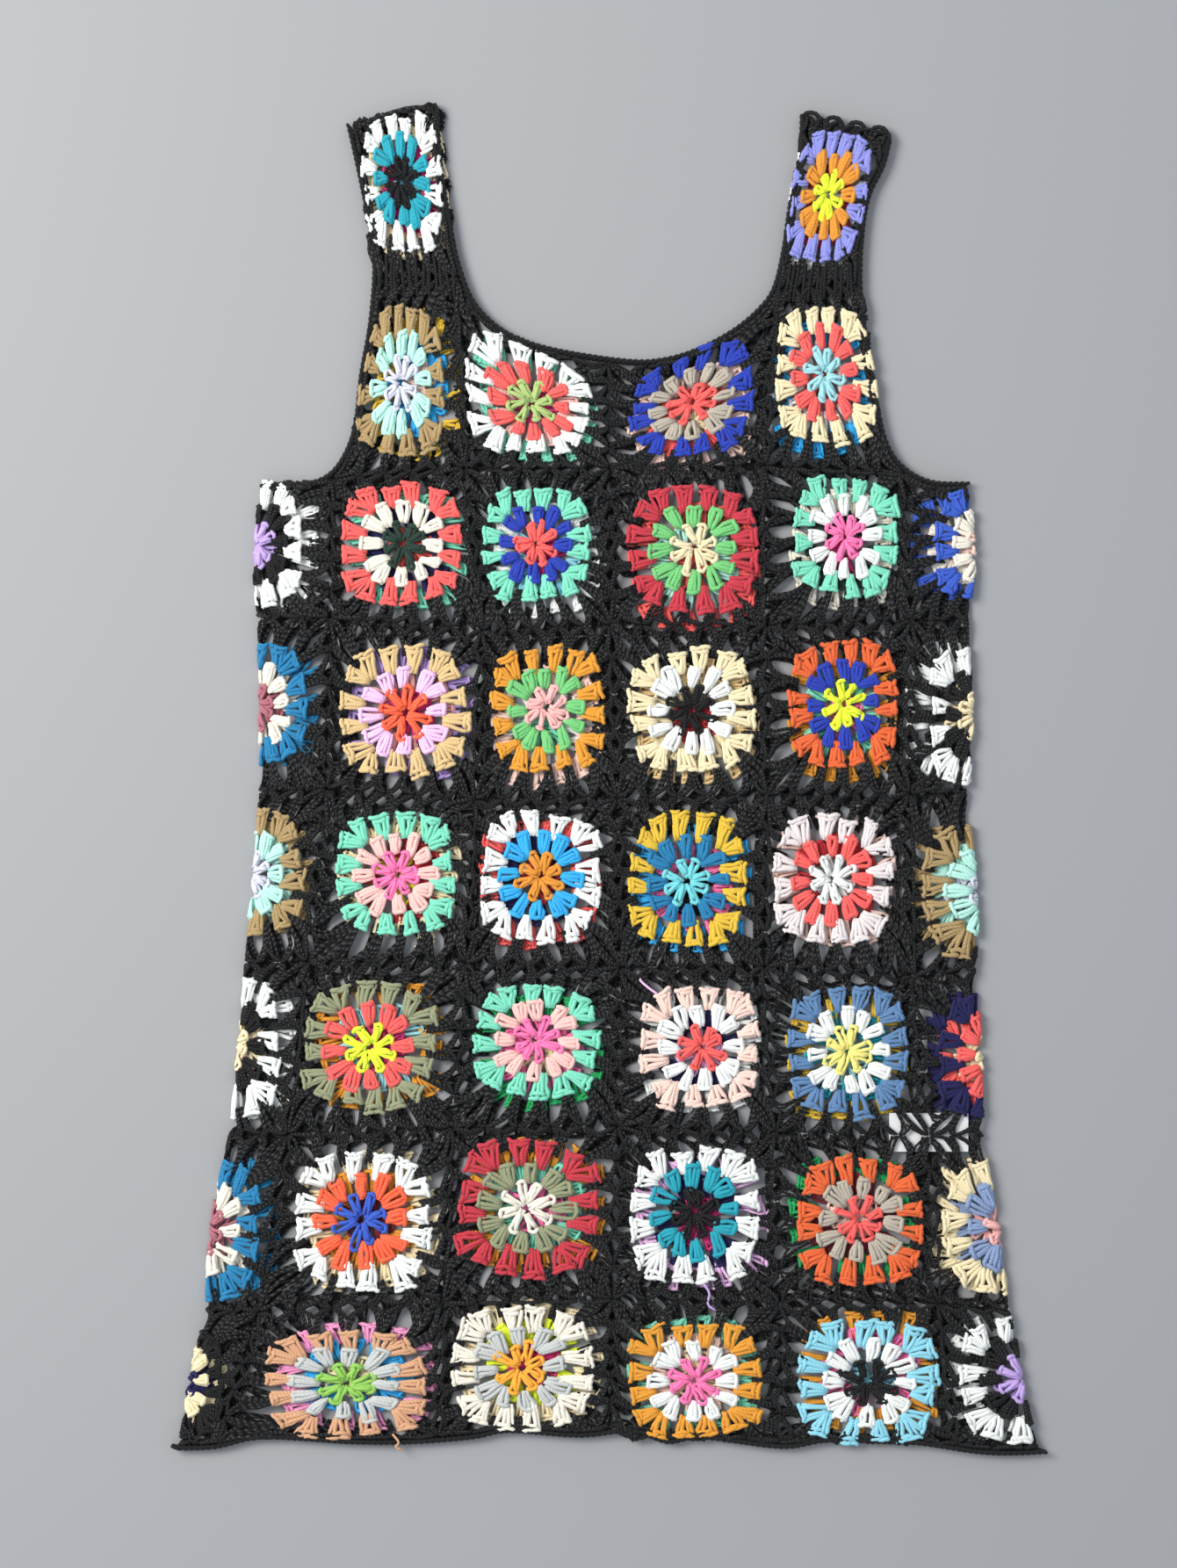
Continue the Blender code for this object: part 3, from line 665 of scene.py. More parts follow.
# %% Uneven hand work
FOOT_SHIFT = 0.7 / CHART_MM
HEAD_SHIFT = 1.1 / CHART_MM
STRAND_SHIFT = 0.35 / CHART_MM
CENTRE_DRIFT = 1.3 / CHART_MM
WIDTH_CHANGE = 0.12                # as a share of a stitch's width
RADIUS_CHANGE = 0.09
KINK = 0.28 / CHART_MM             # how far each point of a length strays from its smooth course
HEIGHT_SHIFT = 0.15 * MM
TWIST_DEGREES = 4.0
HELD_EDGE = 0.15                   # the outermost part of the chart, where the faults fade out


def uneven(chart, seed):
    """The courses of a chart with the small faults of hand work, and the radius of each."""
    chance = np.random.default_rng(seed)
    centre, turns = chance.normal(0, CENTRE_DRIFT, 2), chance.normal(0, TWIST_DEGREES, 4)
    stitches, strands = chart["stitch"].max() + 1, len(chart["lines"])
    widen = 1 + chance.normal(0, WIDTH_CHANGE, (stitches, 1, 1))[chart["stitch"]]
    courses = chart["lines"].copy()
    outer = np.abs(courses[..., :2] + chart["offsets"]).max(axis=-1, keepdims=True)
    free = np.clip((1 - outer) / HELD_EDGE, 0, 1)
    courses[..., :2] += chart["offsets"] * (1 + (widen - 1) * free)
    foot = chance.normal(0, FOOT_SHIFT, (stitches, 1, 2))[chart["stitch"]]
    head = chance.normal(0, HEAD_SHIFT, (stitches, 1, 2))[chart["stitch"]]
    strand = chance.normal(0, STRAND_SHIFT, (strands, 1, 2))
    share = chart["share"][..., None]
    drift = centre * (1 - np.clip(outer, 0, 1) ** 2)
    courses[..., :2] += (foot * (1 - share) + head * share + strand + drift) * free
    courses[..., :2] += chance.normal(0, KINK, (*courses.shape[:2], 2)) * free
    courses[..., 2] += chance.normal(0, HEIGHT_SHIFT, (strands, 1))
    turn = np.radians(turns[chart["round"]])[:, None] * free[..., 0]
    x, y = courses[..., 0].copy(), courses[..., 1].copy()
    courses[..., 0] = x * np.cos(turn) - y * np.sin(turn)
    courses[..., 1] = x * np.sin(turn) + y * np.cos(turn)
    radius = chart["radius"][:, None] * (1 + chance.normal(0, RADIUS_CHANGE, courses.shape[:2]))
    return courses, radius


# %% [markdown]
# The yarn's rings are stood on the carried courses. At each point of a course there are
# three directions: along the yarn, up from the cloth, and sideways. The cloth's own up is
# found by carrying the course a second time, a millimetre higher. Where a square is pulled
# narrow its lengths are crowded, and thick yarn would push through itself, so a length
# that ends up much shorter than it was worked is drawn thinner.

# %% Stand the yarn on its courses
LIFT = 1.0 * MM
THINNEST = 0.3                     # of its radius, however crowded it is
CROWDED_BELOW = 1 / 1.6            # of its worked length


def unit(vectors):
    """The same directions, one long."""
    return vectors / np.maximum(np.linalg.norm(vectors, axis=-1, keepdims=True), 1e-12)


def run_of(courses):
    """How long each course is."""
    return np.linalg.norm(np.diff(courses, axis=1), axis=-1).sum(axis=1)


def stand(chart, courses, carry, radius, worked_mm=None):
    """The places of the vertices once the courses are carried to the garment.

    worked_mm is the size of the chart's unit, where crowded lengths are to be thinned.
    """
    lifted = courses.copy()
    lifted[..., 2] += LIFT
    route, above = carry(courses), carry(lifted)
    onward = unit(np.gradient(route, axis=1))
    sideways = unit(np.cross(onward, unit(above - route)))
    upward = np.cross(sideways, onward)
    if worked_mm:
        room = run_of(route) / (run_of(courses[..., :2]) * worked_mm * MM)
        radius = radius * np.clip(room / CROWDED_BELOW, THINNEST, 1)[:, None]
    ring, angle = chart["ring"], chart["angle"]
    taper = np.where((ring == 0) | (ring == chart["rings"] - 1), END_NARROWING, 1.0)
    size = np.broadcast_to(radius, courses.shape[:2])[:, ring, None]
    across = size * (taper * np.cos(angle))[None, :, None] * sideways[:, ring]
    height = size * (taper * np.sin(angle) * YARN_FLAT)[None, :, None] * upward[:, ring]
    return (route[:, ring] + across + height).reshape(-1, 3)


def shape(mesh, places):
    """Move the vertices of a mesh to their places."""
    mesh.vertices.foreach_set("co", places.astype(np.float32).ravel())
    mesh.update()


# %% [markdown]
# ## The cotton
# The yarn is matt cotton in some fifty colours. Close to, it is a rope of three plies, so its surface has
# slanting furrows, and its colour is a little uneven along the strand. The furrows get a painted shade
# where the plies meet, and the ridges a painted highlight. That is one effect for all colours, so it is a
# node group with its own inputs, built once. It reads the map that runs along the yarn, and so the
# furrows follow every bend. The colours stay in the materials.

# %% The twist of the plies, as a node group
PLIES = 3.0
TURNS = 0.7                        # of the plies, from one ring of the yarn to the next
RIDGE_ROUNDNESS = 0.6
# the ply ridges' share of the painted highlight and shade; the fibres' random tone makes up the rest
RIDGE_SHARE = 0.75                 # of the light and dark; fibres do the rest
FIBRE_SCALE = 520
FIBRE_DETAIL = 5
FUZZ = 0.3                         # of dyed yarn


def new_node(nodes, kind, values=()):
    """A new shader node, with some of its plain inputs set."""
    made = nodes.new("ShaderNode" + kind)
    for name, value in dict(values).items():
        made.inputs[name].default_value = value
    return made


def new_socket(group, name, direction, value=None):
    """A named number going into a node group or out of it."""
    made = group.interface.new_socket(name=name, in_out=direction, socket_type="NodeSocketFloat")
    if value is not None:
        made.default_value = value


def math_node(group, operation, first, second=None):
    """A maths node whose inputs are sockets or numbers; returns its result."""
    node = new_node(group.nodes, "Math")
    node.operation = operation
    for number, value in enumerate((first, second)):
        if hasattr(value, "is_output"):
            group.links.new(value, node.inputs[number])
        elif value is not None:
            node.inputs[number].default_value = value
    return node.outputs[0]


plied = bpy.data.node_groups.new("plied cotton", "ShaderNodeTree")
new_socket(plied, "Plies", "INPUT", PLIES)
new_socket(plied, "Turns", "INPUT", TURNS)
new_socket(plied, "Fuzz", "INPUT", FUZZ)
new_socket(plied, "Light", "OUTPUT")
new_socket(plied, "Height", "OUTPUT")
plied_in = plied.nodes.new("NodeGroupInput")
plied_out = plied.nodes.new("NodeGroupOutput")
yarn_uv = new_node(plied.nodes, "UVMap")
yarn_uv.uv_map = "yarn"
split = new_node(plied.nodes, "SeparateXYZ")
plied.links.new(yarn_uv.outputs["UV"], split.inputs[0])
run_turns = math_node(plied, "MULTIPLY", split.outputs["X"], plied_in.outputs["Turns"])
round_turns = math_node(plied, "ADD", split.outputs["Y"], run_turns)
ply_phase = math_node(plied, "MULTIPLY", round_turns, plied_in.outputs["Plies"])
ply_wave = math_node(plied, "SINE", math_node(plied, "MULTIPLY", ply_phase, math.pi))
# 1 on the crest of a ply and 0 in a furrow; it raises the bump and sets the painted highlight and shade
ridge = math_node(plied, "POWER", math_node(plied, "ABSOLUTE", ply_wave), RIDGE_ROUNDNESS)
coordinates = new_node(plied.nodes, "TexCoord")
fibres = new_node(plied.nodes, "TexNoise", {"Scale": FIBRE_SCALE, "Detail": FIBRE_DETAIL})
plied.links.new(coordinates.outputs["Object"], fibres.inputs["Vector"])
fuzz = math_node(plied, "MULTIPLY", fibres.outputs[0], plied_in.outputs["Fuzz"])
# the share of painted ridge highlight against painted furrow shade, with the fibres' random tone added
light = math_node(plied, "ADD", math_node(plied, "MULTIPLY", ridge, RIDGE_SHARE), fuzz)
plied.links.new(light, plied_out.inputs["Light"])
plied.links.new(math_node(plied, "ADD", ridge, fuzz), plied_out.inputs["Height"])
print("nodes in the plied cotton group:", len(plied.nodes))

# %% [markdown]
# A yarn's colour is mixed from two: the dye with a painted highlight, for the lit ridge of a ply, and a
# painted shade of the same dye for the furrows and shadows between fibres. The painted shade in a furrow
# of white yarn is barely darker and in red yarn much deeper, which is why the shaded tone is worked out
# by raising each channel to a power and not by multiplying with grey. The black yarn is a glossier cotton
# with plies that stand out more, so it has a finish of its own.

# %% The yarn colours
YARNS = {                          # as a screen shows them, red, green and blue from 0 to 255
    "white": (240, 242, 238), "ivory": (243, 236, 220), "cream": (244, 228, 186),
    "black": (15, 15, 16), "mint": (128, 222, 192), "pale mint": (190, 241, 226),
    "coral": (248, 94, 88), "crimson": (200, 42, 62), "red": (196, 26, 42),
    "peach": (249, 216, 202), "pale pink": (252, 200, 192), "khaki": (176, 150, 102),
    "tan": (224, 194, 138), "gold": (230, 158, 8), "mustard": (230, 192, 38),
    "orange": (232, 100, 16), "orange red": (255, 98, 42), "royal": (10, 56, 178),
    "sky blue": (44, 92, 200), "steel": (96, 136, 178), "sky": (146, 215, 231),
    "periwinkle": (144, 148, 222), "cerulean": (0, 128, 176), "teal": (0, 166, 184),
    "azure": (0, 176, 236), "sage": (152, 156, 122), "moss": (178, 202, 124),
    "green": (120, 204, 124), "emerald": (0, 172, 96), "bottle green": (36, 62, 52),
    "lime": (152, 206, 90), "navy": (26, 24, 84), "brown": (216, 166, 126),
    "lavender": (198, 170, 228), "lilac": (246, 200, 240), "violet": (176, 148, 210),
    "hot pink": (255, 122, 182), "salmon": (250, 188, 183), "dusty rose": (182, 110, 124),
    "neon yellow": (240, 255, 20), "pale yellow": (246, 236, 134), "ochre": (230, 152, 16),
    "light grey": (200, 203, 200), "mist": (218, 220, 232), "pink": (245, 162, 206),
    "greige": (188, 178, 162), "pearl": (236, 226, 224), "magenta": (226, 24, 130),
    "maroon": (124, 22, 44), "aqua": (165, 221, 226), "turquoise": (118, 216, 222),
    "orange yellow": (255, 178, 22), "grey blue": (140, 160, 196),
}
# painted light: a painted shade in the furrows between the plies and a painted highlight on their ridges
FURROW_SHADE_POWER = 1.3
FURROW_SHADE = 0.8
RIDGE_HIGHLIGHT = 0.06                 # how much paler the ridges of the brightest yarns are
DYED_LOOK = {
    "Roughness": 0.78, "Specular IOR Level": 0.3, "Sheen Weight": 0.08, "Sheen Roughness": 0.5,
}
BLACK_LOOK = {
    "Roughness": 0.55, "Specular IOR Level": 0.42, "Sheen Weight": 0.02, "Sheen Roughness": 0.5,
}
DYED_FURROWS = (FUZZ, 0.25, 0.3 * MM)    # fuzz, strength and depth
BLACK_FURROWS = (0.7, 1.0, 0.7 * MM)


def linear(channel):
    """A screen value from 0 to 255 as a light value from 0 to 1."""
    value = channel / 255
    return value / 12.92 if value <= 0.04045 else ((value + 0.055) / 1.055) ** 2.4


def cotton(name):
    """The cotton yarn of one colour, made once."""
    title = name + " cotton"
    if title in bpy.data.materials:
        return bpy.data.materials[title]
    black = name == "black"
    fuzz_share, strength, depth = BLACK_FURROWS if black else DYED_FURROWS
    dye = [linear(channel) for channel in YARNS[name]]
    # the dye with a painted highlight, for the lit ridges of the plies
    highlit_dye = [channel + (1 - channel) * RIDGE_HIGHLIGHT * max(dye) for channel in dye]
    # a painted shade of the dye, for the furrows between the plies
    shaded_dye = [FURROW_SHADE * channel ** FURROW_SHADE_POWER for channel in dye]
    material, nodes, links, shader = new_material(title, BLACK_LOOK if black else DYED_LOOK)
    plies = new_node(nodes, "Group")
    plies.node_tree = plied
    plies.inputs["Fuzz"].default_value = fuzz_share
    blend = new_node(nodes, "Mix")
    blend.data_type = "RGBA"
    blend.inputs["A"].default_value = (*shaded_dye, 1)
    blend.inputs["B"].default_value = (*highlit_dye, 1)
    links.new(plies.outputs["Light"], blend.inputs["Factor"])
    links.new(blend.outputs["Result"], shader.inputs["Base Color"])
    furrows = new_node(nodes, "Bump", {"Strength": strength, "Distance": depth})
    links.new(plies.outputs["Height"], furrows.inputs["Height"])
    links.new(furrows.outputs["Normal"], shader.inputs["Normal"])
    return material


print("black yarn's material:", cotton("black").name)

# %% [markdown]
# ## Which yarn goes where
# A dress of scrap yarns hardly ever repeats a square. Each square lists its yarns from the
# middle out: petals, puffs, fans. The lace round is always black.

# %% The yarns of the front, side and top squares
BODY_YARNS = (                     # left side, four in front, right side; row 1 is the highest
    (
        ("lavender", "black", "white"), ("bottle green", "ivory", "coral"), ("coral", "royal", "mint"),
        ("cream", "green", "crimson"), ("hot pink", "white", "mint"), ("peach", "ivory", "sky blue"),
    ),
    (
        ("dusty rose", "ivory", "cerulean"), ("orange red", "lilac", "tan"), ("salmon", "green", "gold"),
        ("black", "white", "cream"), ("neon yellow", "royal", "orange"), ("cream", "black", "white"),
    ),
    (
        ("mist", "pale mint", "khaki"), ("hot pink", "pale pink", "mint"), ("ochre", "azure", "white"),
        ("turquoise", "cerulean", "mustard"), ("white", "coral", "pearl"), ("mist", "pale mint", "khaki"),
    ),
    (
        ("cream", "black", "white"), ("neon yellow", "coral", "sage"), ("hot pink", "pale pink", "mint"),
        ("coral", "white", "peach"), ("pale yellow", "white", "steel"), ("cream", "coral", "navy"),
    ),
    (
        ("dusty rose", "ivory", "cerulean"), ("sky blue", "orange red", "white"),
        ("ivory", "sage", "crimson"), ("black", "teal", "white"),
        ("coral", "greige", "orange"), ("salmon", "grey blue", "cream"),
    ),
    (
        ("navy", "cream", "black"), ("lime", "light grey", "brown"),
        ("orange yellow", "light grey", "ivory"), ("hot pink", "white", "gold"),
        ("black", "white", "sky"), ("lavender", "black", "white"),
    ),
)
YOKE_YARNS = (
    ("mist", "pale mint", "khaki"), ("moss", "coral", "white"),
    ("coral", "greige", "royal"), ("aqua", "coral", "cream"),
)
STRAP_YARNS = {"left": ("black", "teal", "white"), "right": ("neon yellow", "ochre", "periwinkle")}

# %% The yarns of the back squares
BACK_YARNS = (
    (
        ("coral", "navy", "mint"), ("magenta", "sky", "white"),
        ("coral", "pale mint", "coral"), ("magenta", "bottle green", "ivory"),
    ),
    (
        ("magenta", "salmon", "violet"), ("mint", "white", "peach"),
        ("red", "cream", "tan"), ("hot pink", "mint", "gold"),
    ),
    (
        ("neon yellow", "red", "cream"), ("crimson", "navy", "coral"),
        ("black", "hot pink", "azure"), ("white", "red", "peach"),
    ),
    (
        ("magenta", "aqua", "gold"), ("cream", "hot pink", "emerald"),
        ("lilac", "navy", "white"), ("aqua", "teal", "mustard"),
    ),
    (
        ("maroon", "gold", "cream"), ("hot pink", "mint", "gold"),
        ("magenta", "navy", "lilac"), ("peach", "maroon", "emerald"),
    ),
    (
        ("cream", "azure", "pink"), ("magenta", "neon yellow", "cream"),
        ("cream", "peach", "mint"), ("sky", "hot pink", "gold"),
    ),
)
BACK_YOKE_YARNS = (
    ("peach", "azure", "mustard"), ("magenta", "pale pink", "mint"),
    ("cream", "coral", "peach"), ("coral", "white", "azure"),
)
BACK_STRAP_YARNS = {"left": ("sky", "magenta", "cream"), "right": ("white", "red", "white")}

# %% [markdown]
# The coloured rounds are worked tighter than the lace, so they keep their shape and the
# lace takes the pull. That is why each square of the front also has the box of its
# coloured rounds, in millimetres: inside it the chart is laid evenly, and outside it the
# chart is blended out to the four sides. The back has the same boxes, each drifted a
# little, and a square at a fold has a box that reaches round it.

# %% The boxes of the coloured rounds
ROUND_BOXES = (                    # left, right, low, high
    ((-166, -93, 107, 182), (-78, -12, 110, 180), (11, 92, 102, 181), (113, 178, 113, 188)),
    ((-166, -87, 2, 83), (-72, -3, 4, 81), (13, 91, 4, 82), (111, 178, 7, 87)),
    ((-170, -96, -97, -22), (-80, -5, -102, -20), (13, 86, -103, -21), (102, 176, -103, -22)),
    ((-189, -108, -205, -125), (-84, -7, -198, -127), (18, 93, -205, -128), (111, 186, -208, -128)),
    ((-195, -110, -318, -232), (-94, -7, -308, -223), (13, 94, -313, -228), (116, 193, -314, -236)),
    ((-214, -113, -407, -341), (-97, -10, -402, -326), (12, 95, -409, -337), (117, 204, -411, -334)),
)
YOKE_CORNERS = (                   # low left, low right, high right, high left
    ((-161, 199), (-98, 199), (-106, 292), (-146, 292)),
    ((-84, 202), (-14, 202), (-10, 253), (-93, 288)),
    ((14, 198), (87, 202), (92, 279), (14, 250)),
    ((103, 206), (169, 206), (158, 294), (103, 292)),
)
STRAP_CORNERS = {
    "left": ((-149, 327), (-100, 326), (-107, 417), (-156, 407)),
    "right": ((107, 318), (152, 318), (166, 399), (119, 400)),
}
SIDE_BOXES = {                     # inner end in front, at the back, low, high, for each row
    "left": (
        (-190.5, -177, 107, 183), (-189, -180, 9, 84), (-191.5, -184, -97, -18),
        (-205, -195, -212, -125), (-217, -204, -323, -235), (-239, -229, -408, -341),
    ),
    "right": (
        (201, 187, 110, 179), (198, 183, -4, 83), (191.5, 190, -111, -29),
        (204, 197, -212, -133), (208, 202, -318, -235), (218, 209.5, -411, -334),
    ),
}
FOLD_BULGES = {                    # how far the cloth swells out at the fold, in millimetres
    "left": (5, 0, 0, 0, 5, 3),
    "right": (6, 3.5, 4, 1.5, 2, 0),
}
FOLD_PLACES = {                    # where the fold crosses the chart; 0 is through its middle
    "left": (0, -0.06, -0.06, -0.1, -0.12, -0.2),
    "right": (-0.18, -0.1, -0.16, -0.18, -0.12, 0),
}


def box_corners(left, right, low, high):
    """The four corners of a box, low left first."""
    return ((left, low), (right, low), (right, high), (left, high))


# %% How far the back's coloured rounds lie from the front's
BACK_DRIFTS = (
    ((5, -3), (6, -10), (1, -10), (-2, -6)),
    ((4, -2), (-2, -9), (1, -9), (0, -9)),
    ((4, -1), (-1, -3), (3, -5), (1, -2)),
    ((7, -2), (2, -5), (1, -2), (0, -4)),
    ((5, 1), (4, 0), (4, -3), (-3, 2)),
    ((8, 3), (6, 1), (1, 5), (0, 5)),
)
BACK_YOKE_DRIFTS = ((9, -2), (5, -6), (0, -8), (-3, -8))
BACK_STRAP_DRIFTS = {"left": (5, -6), "right": (-1, -2)}

# %% Carry a chart into a flat square
def lace_share(uv):
    """0 in the coloured rounds, rising to 1 at the sides of the square."""
    outer = np.abs(uv).max(axis=-1, keepdims=True)
    share = np.clip((outer - ROUNDS_REACH) / (1 - ROUNDS_REACH), 0, 1)
    return share * share * (3 - 2 * share)


def between(corners, uv):
    """Carry points of -1 to 1 both ways between four corners."""
    s, t = (uv[..., :1] + 1) / 2, (uv[..., 1:] + 1) / 2
    low_left, low_right, high_right, high_left = corners
    return mix(mix(low_left, low_right, s), mix(high_left, high_right, s), t)


def flat_carry(square, corners, drift, bottom, flatten):
    """A function that carries courses into a square that lies flat."""
    corners = (np.array(corners) + drift) * MM

    def carry(courses):
        uv, height = courses[..., :2], courses[..., 2:]
        place = mix(between(corners, uv / ROUNDS_REACH), place_in(square, uv), lace_share(uv))
        return np.concatenate([place, bottom + height * flatten], axis=-1)
    return carry


# %% [markdown]
# ## The trim
# Neck, armholes and hem are finished with one narrow black row on each layer. It looks
# like a rope of slanting stitches, each lying on the foot of the next, so one length of
# yarn is repeated along the edge.

# %% The trims
BACK_FLATTEN = 0.62                # the front lies on the back and presses it
LAYERS = {"front": (FRONT_BOTTOM, 1.0), "back": (0.0, BACK_FLATTEN)}    # bottom and flattening
TRIM_PITCH = 3.6 * MM
TRIM_SLANT = 6.5 * MM
TRIM_RINGS = 5
TRIM_ACROSS = (0.25, 0.8)          # where a stitch starts and ends in the trim's width
TRIM_LIFT = (1.2, 1.1)             # height of its ends, and of its middle above them, in mm
TRIMMED = {                        # the square whose sheet each trim is worked on to
    "armhole_left": "front_yoke_square1", "neck": "front_yoke_square2",
    "armhole_right": "front_yoke_square4", "hem": "front_row6_square2",
}
trims = {}                         # the finer pieces that go with the sheet of a square


def as_laid(route):
    """The carry of yarn whose courses are already in place."""
    return route


def piece_from(mesh, name):
    """Put a finished mesh in the scene, riding on the dress."""
    piece = put_in_scene(mesh, name)
    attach(piece, "root")
    return piece


def laid_yarn(name, node, yarn, courses, radius, slot_of=None):
    """A finer piece: lengths of yarn laid along courses, and worked on to the square of a node."""
    chart = many_lengths(len(courses), YARN_SIDES, courses.shape[1])
    mesh = chart["mesh"]
    shape(mesh, stand(chart, courses, as_laid, radius))
    mesh.materials.append(cotton(yarn))
    piece = piece_from(mesh, name)
    trims.setdefault(node, []).append(piece)
    return piece


def trim_courses(edge, layer):
    """The courses of a trim's stitches along an edge."""
    outer = OUTER_EDGES[edge]
    inner = beside(outer, CLOTH_SIDE[edge] * EDGING_WIDTH)
    length = sum((end - start).length for start, end in zip(outer, outer[1:]))
    share = np.linspace(0, 1, TRIM_RINGS)
    starts = np.linspace(0, 1 - TRIM_SLANT / length, round(length / TRIM_PITCH))[:, None]
    t = starts + share * TRIM_SLANT / length
    across = np.interp(share, (0, 1), TRIM_ACROSS)[:, None]
    flat = mix(along(inner, t), along(outer, t), across)
    bottom, flatten = LAYERS[layer]
    height = bottom + flatten * (TRIM_LIFT[0] + TRIM_LIFT[1] * np.sin(share * math.pi)) * MM
    return np.concatenate([flat, np.broadcast_to(height[:, None], (*t.shape, 1))], axis=-1)


for edge in OUTER_EDGES:
    node = f"{edge}_edging"
    courses = np.concatenate([trim_courses(edge, layer) for layer in ("front", "back")])
    piece = laid_yarn(f"crochet_{node}", TRIMMED[edge], "black", courses, YARN_RADIUS, slot_of=node)
    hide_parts(node)
    print(edge, "stitches:", len(courses))

# %% [markdown]
# The straps end differently: the left one in a rounded band, two cords thick, and the right one in four
# loops, one for each gap of the lace. A few ends of yarn were never woven in. All of these are single
# cords, laid along a few given points.

# %% Shoulder cords and loose ends
CORD_RADIUS = 1.5 * MM
END_RADIUS = 0.8 * MM
CORD_RINGS = 9
LEFT_BAND = ((-160, 397), (-150, 406), (-123, 415), (-107, 413))
BAND_HEIGHTS = ((1.4, 2.0, 2.0, 1.4), (5.0, 5.6, 5.6, 5.0))    # of its lower and upper cord
LOOPS = 4
LOOPS_START, LOOPS_END = (118, 408), (174, 396)
LOOP_POINTS = (                    # share of a loop's step, shift across and up, height
    (0, 1, -3, 4.2), (0.25, 0, 3.5, 4.8), (0.75, 0, 3.0, 4.8), (1, -0.5, -5, 4.2),
)
LOOSE_ENDS = (                     # row and column, yarn and points
    (4, 3, "lilac", ((31, -134, 6.2), (24, -129, 6.4), (19, -124, 6.0), (20, -119, 5.2))),
    (5, 3, "lavender", ((58, -312, 6.0), (62, -318, 6.5), (61, -325, 6.1), (66, -329, 5.4))),
    (6, 1, "brown", ((-134, -405, 7.3), (-130, -410, 7.7), (-132, -413, 7.4), (-128, -415, 6.6))),
)


def cords(name, node, yarn, routes, radius):
    """A few lengths of yarn laid along routes given in millimetres."""
    courses = np.array([spline(route, CORD_RINGS) for route in routes]) * MM
    laid_yarn(name, node, yarn, courses, radius)


band = [
    [(*point, height) for point, height in zip(LEFT_BAND, heights)] for heights in BAND_HEIGHTS
]
cords("shoulder_band_left", "strap_left_front", "black", band, CORD_RADIUS)
loop_run, loop_rise = ((end - start) / LOOPS for start, end in zip(LOOPS_START, LOOPS_END))
loops = [
    [
        (
            LOOPS_START[0] + loop_run * (loop + share) + across,
            LOOPS_START[1] + loop_rise * loop + up,
            height,
        )
        for share, across, up, height in LOOP_POINTS
    ]
    for loop in range(LOOPS)
]
cords("shoulder_loops_right", "strap_right_front", "black", loops, CORD_RADIUS)
for number, (row, column, yarn, route) in enumerate(LOOSE_ENDS):
    cords(f"loose_end_{number}", f"front_row{row}_square{column}", yarn, [route], END_RADIUS)
print("finer pieces:", sum(len(pieces) for pieces in trims.values()))

# %% [markdown]
# Where a strap meets the yoke the lace is pulled long and close, so it reads as a band of
# upright strands. A second layer of them is laid over the join, each a little uneven.

# %% The long strands between strap and yoke
STRAND_COUNT = 13
STRAND_SEED = 7
STRAND_RADIUS = 1.15 * MM
STRAND_SPREAD, STRAND_BEND = 1.0, 0.7    # how far ends and middles stray, in millimetres
STRAND_HEIGHTS = (5.0, 6.3, 5.2)
STRAND_ENDS = {                    # low left, low right, high left, high right
    "left": ((-142, 297), (-95, 295), (-141, 325), (-98, 324)),
    "right": ((103, 294), (151, 297), (109, 319), (150, 319)),
}

strand_chance = np.random.default_rng(STRAND_SEED)
for side, ends in STRAND_ENDS.items():
    low_left, low_right, high_left, high_right = (np.array(end, float) for end in ends)
    routes = []
    for share in np.linspace(0, 1, STRAND_COUNT):
        low = mix(low_left, low_right, share) + strand_chance.normal(0, STRAND_SPREAD, 2)
        high = mix(high_left, high_right, share) + strand_chance.normal(0, STRAND_SPREAD, 2)
        middle = (low + high) / 2 + strand_chance.normal(0, STRAND_BEND, 2)
        routes.append(np.column_stack([(low, middle, high), STRAND_HEIGHTS]))
    cords(f"long_strands_{side}", f"strap_{side}_front", "black", routes, STRAND_RADIUS)
print("long strands:", len(STRAND_ENDS) * STRAND_COUNT)

# %% [markdown]
# One function makes any square. It copies the chart's mesh, moves its vertices to their place, gives it
# its four yarns, and hides the solid that the new piece replaces.

# %% Make one square
WORKED_SIZE = 100 * MM             # a square comes off the hook this large, and can be drawn in
OVER_THE_LABEL = ("front_row4_square4", "side_right_row4", "front_row5_square4", "side_right_row5")
LEAN = 0.72                        # the lace over the label is thin, so that the label shows
squares_made = []


def mean_span(first, second):
    """The mean of the straight spans of two opposite sides."""
    return ((first[-1] - first[0]).length + (second[-1] - second[0]).length) / 2


def spans(square, halves=1):
    """The flat size a square was worked to; of a folded one, one half is given."""
    width = halves * mean_span(square["bottom"], square["top"])
    height = mean_span(square["left"], square["right"])
    return max(width, WORKED_SIZE), max(height, WORKED_SIZE)


def crochet(name, node, charts, carry, yarns, flat):
    """A crocheted square in its place in the dress: the laced sheet and its raised flower."""
    pieces = []
    for chart, kind in zip(charts, ("crochet_", "flower_")):
        courses, radius = uneven(chart, seed=len(squares_made))
        if node in OVER_THE_LABEL:
            radius = np.where(chart["round"][:, None] == LACE_INDEX, radius * LEAN, radius)
        mesh = chart["mesh"].copy()
        mesh.name = kind + name
        shape(mesh, stand(chart, courses, carry, radius, worked_mm=CHART_MM))
        for yarn in (*yarns, "black"):
            mesh.materials.append(cotton(yarn))
        piece = piece_from(mesh, kind + name)
        pieces.append(piece)
    sheet, flower = pieces
    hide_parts(node)
    squares_made.append(sheet)


# %% [markdown]
# ## The two flat layers
# The back layer lies on the floor under the front and shows through its lace, so it is
# whole too, in leaner yarn. It is pressed flatter, because the front lies on it. Both
# layers have the same squares, so one function lists them. The solid model has each row
# of the back's body as one piece, which four crocheted squares replace.

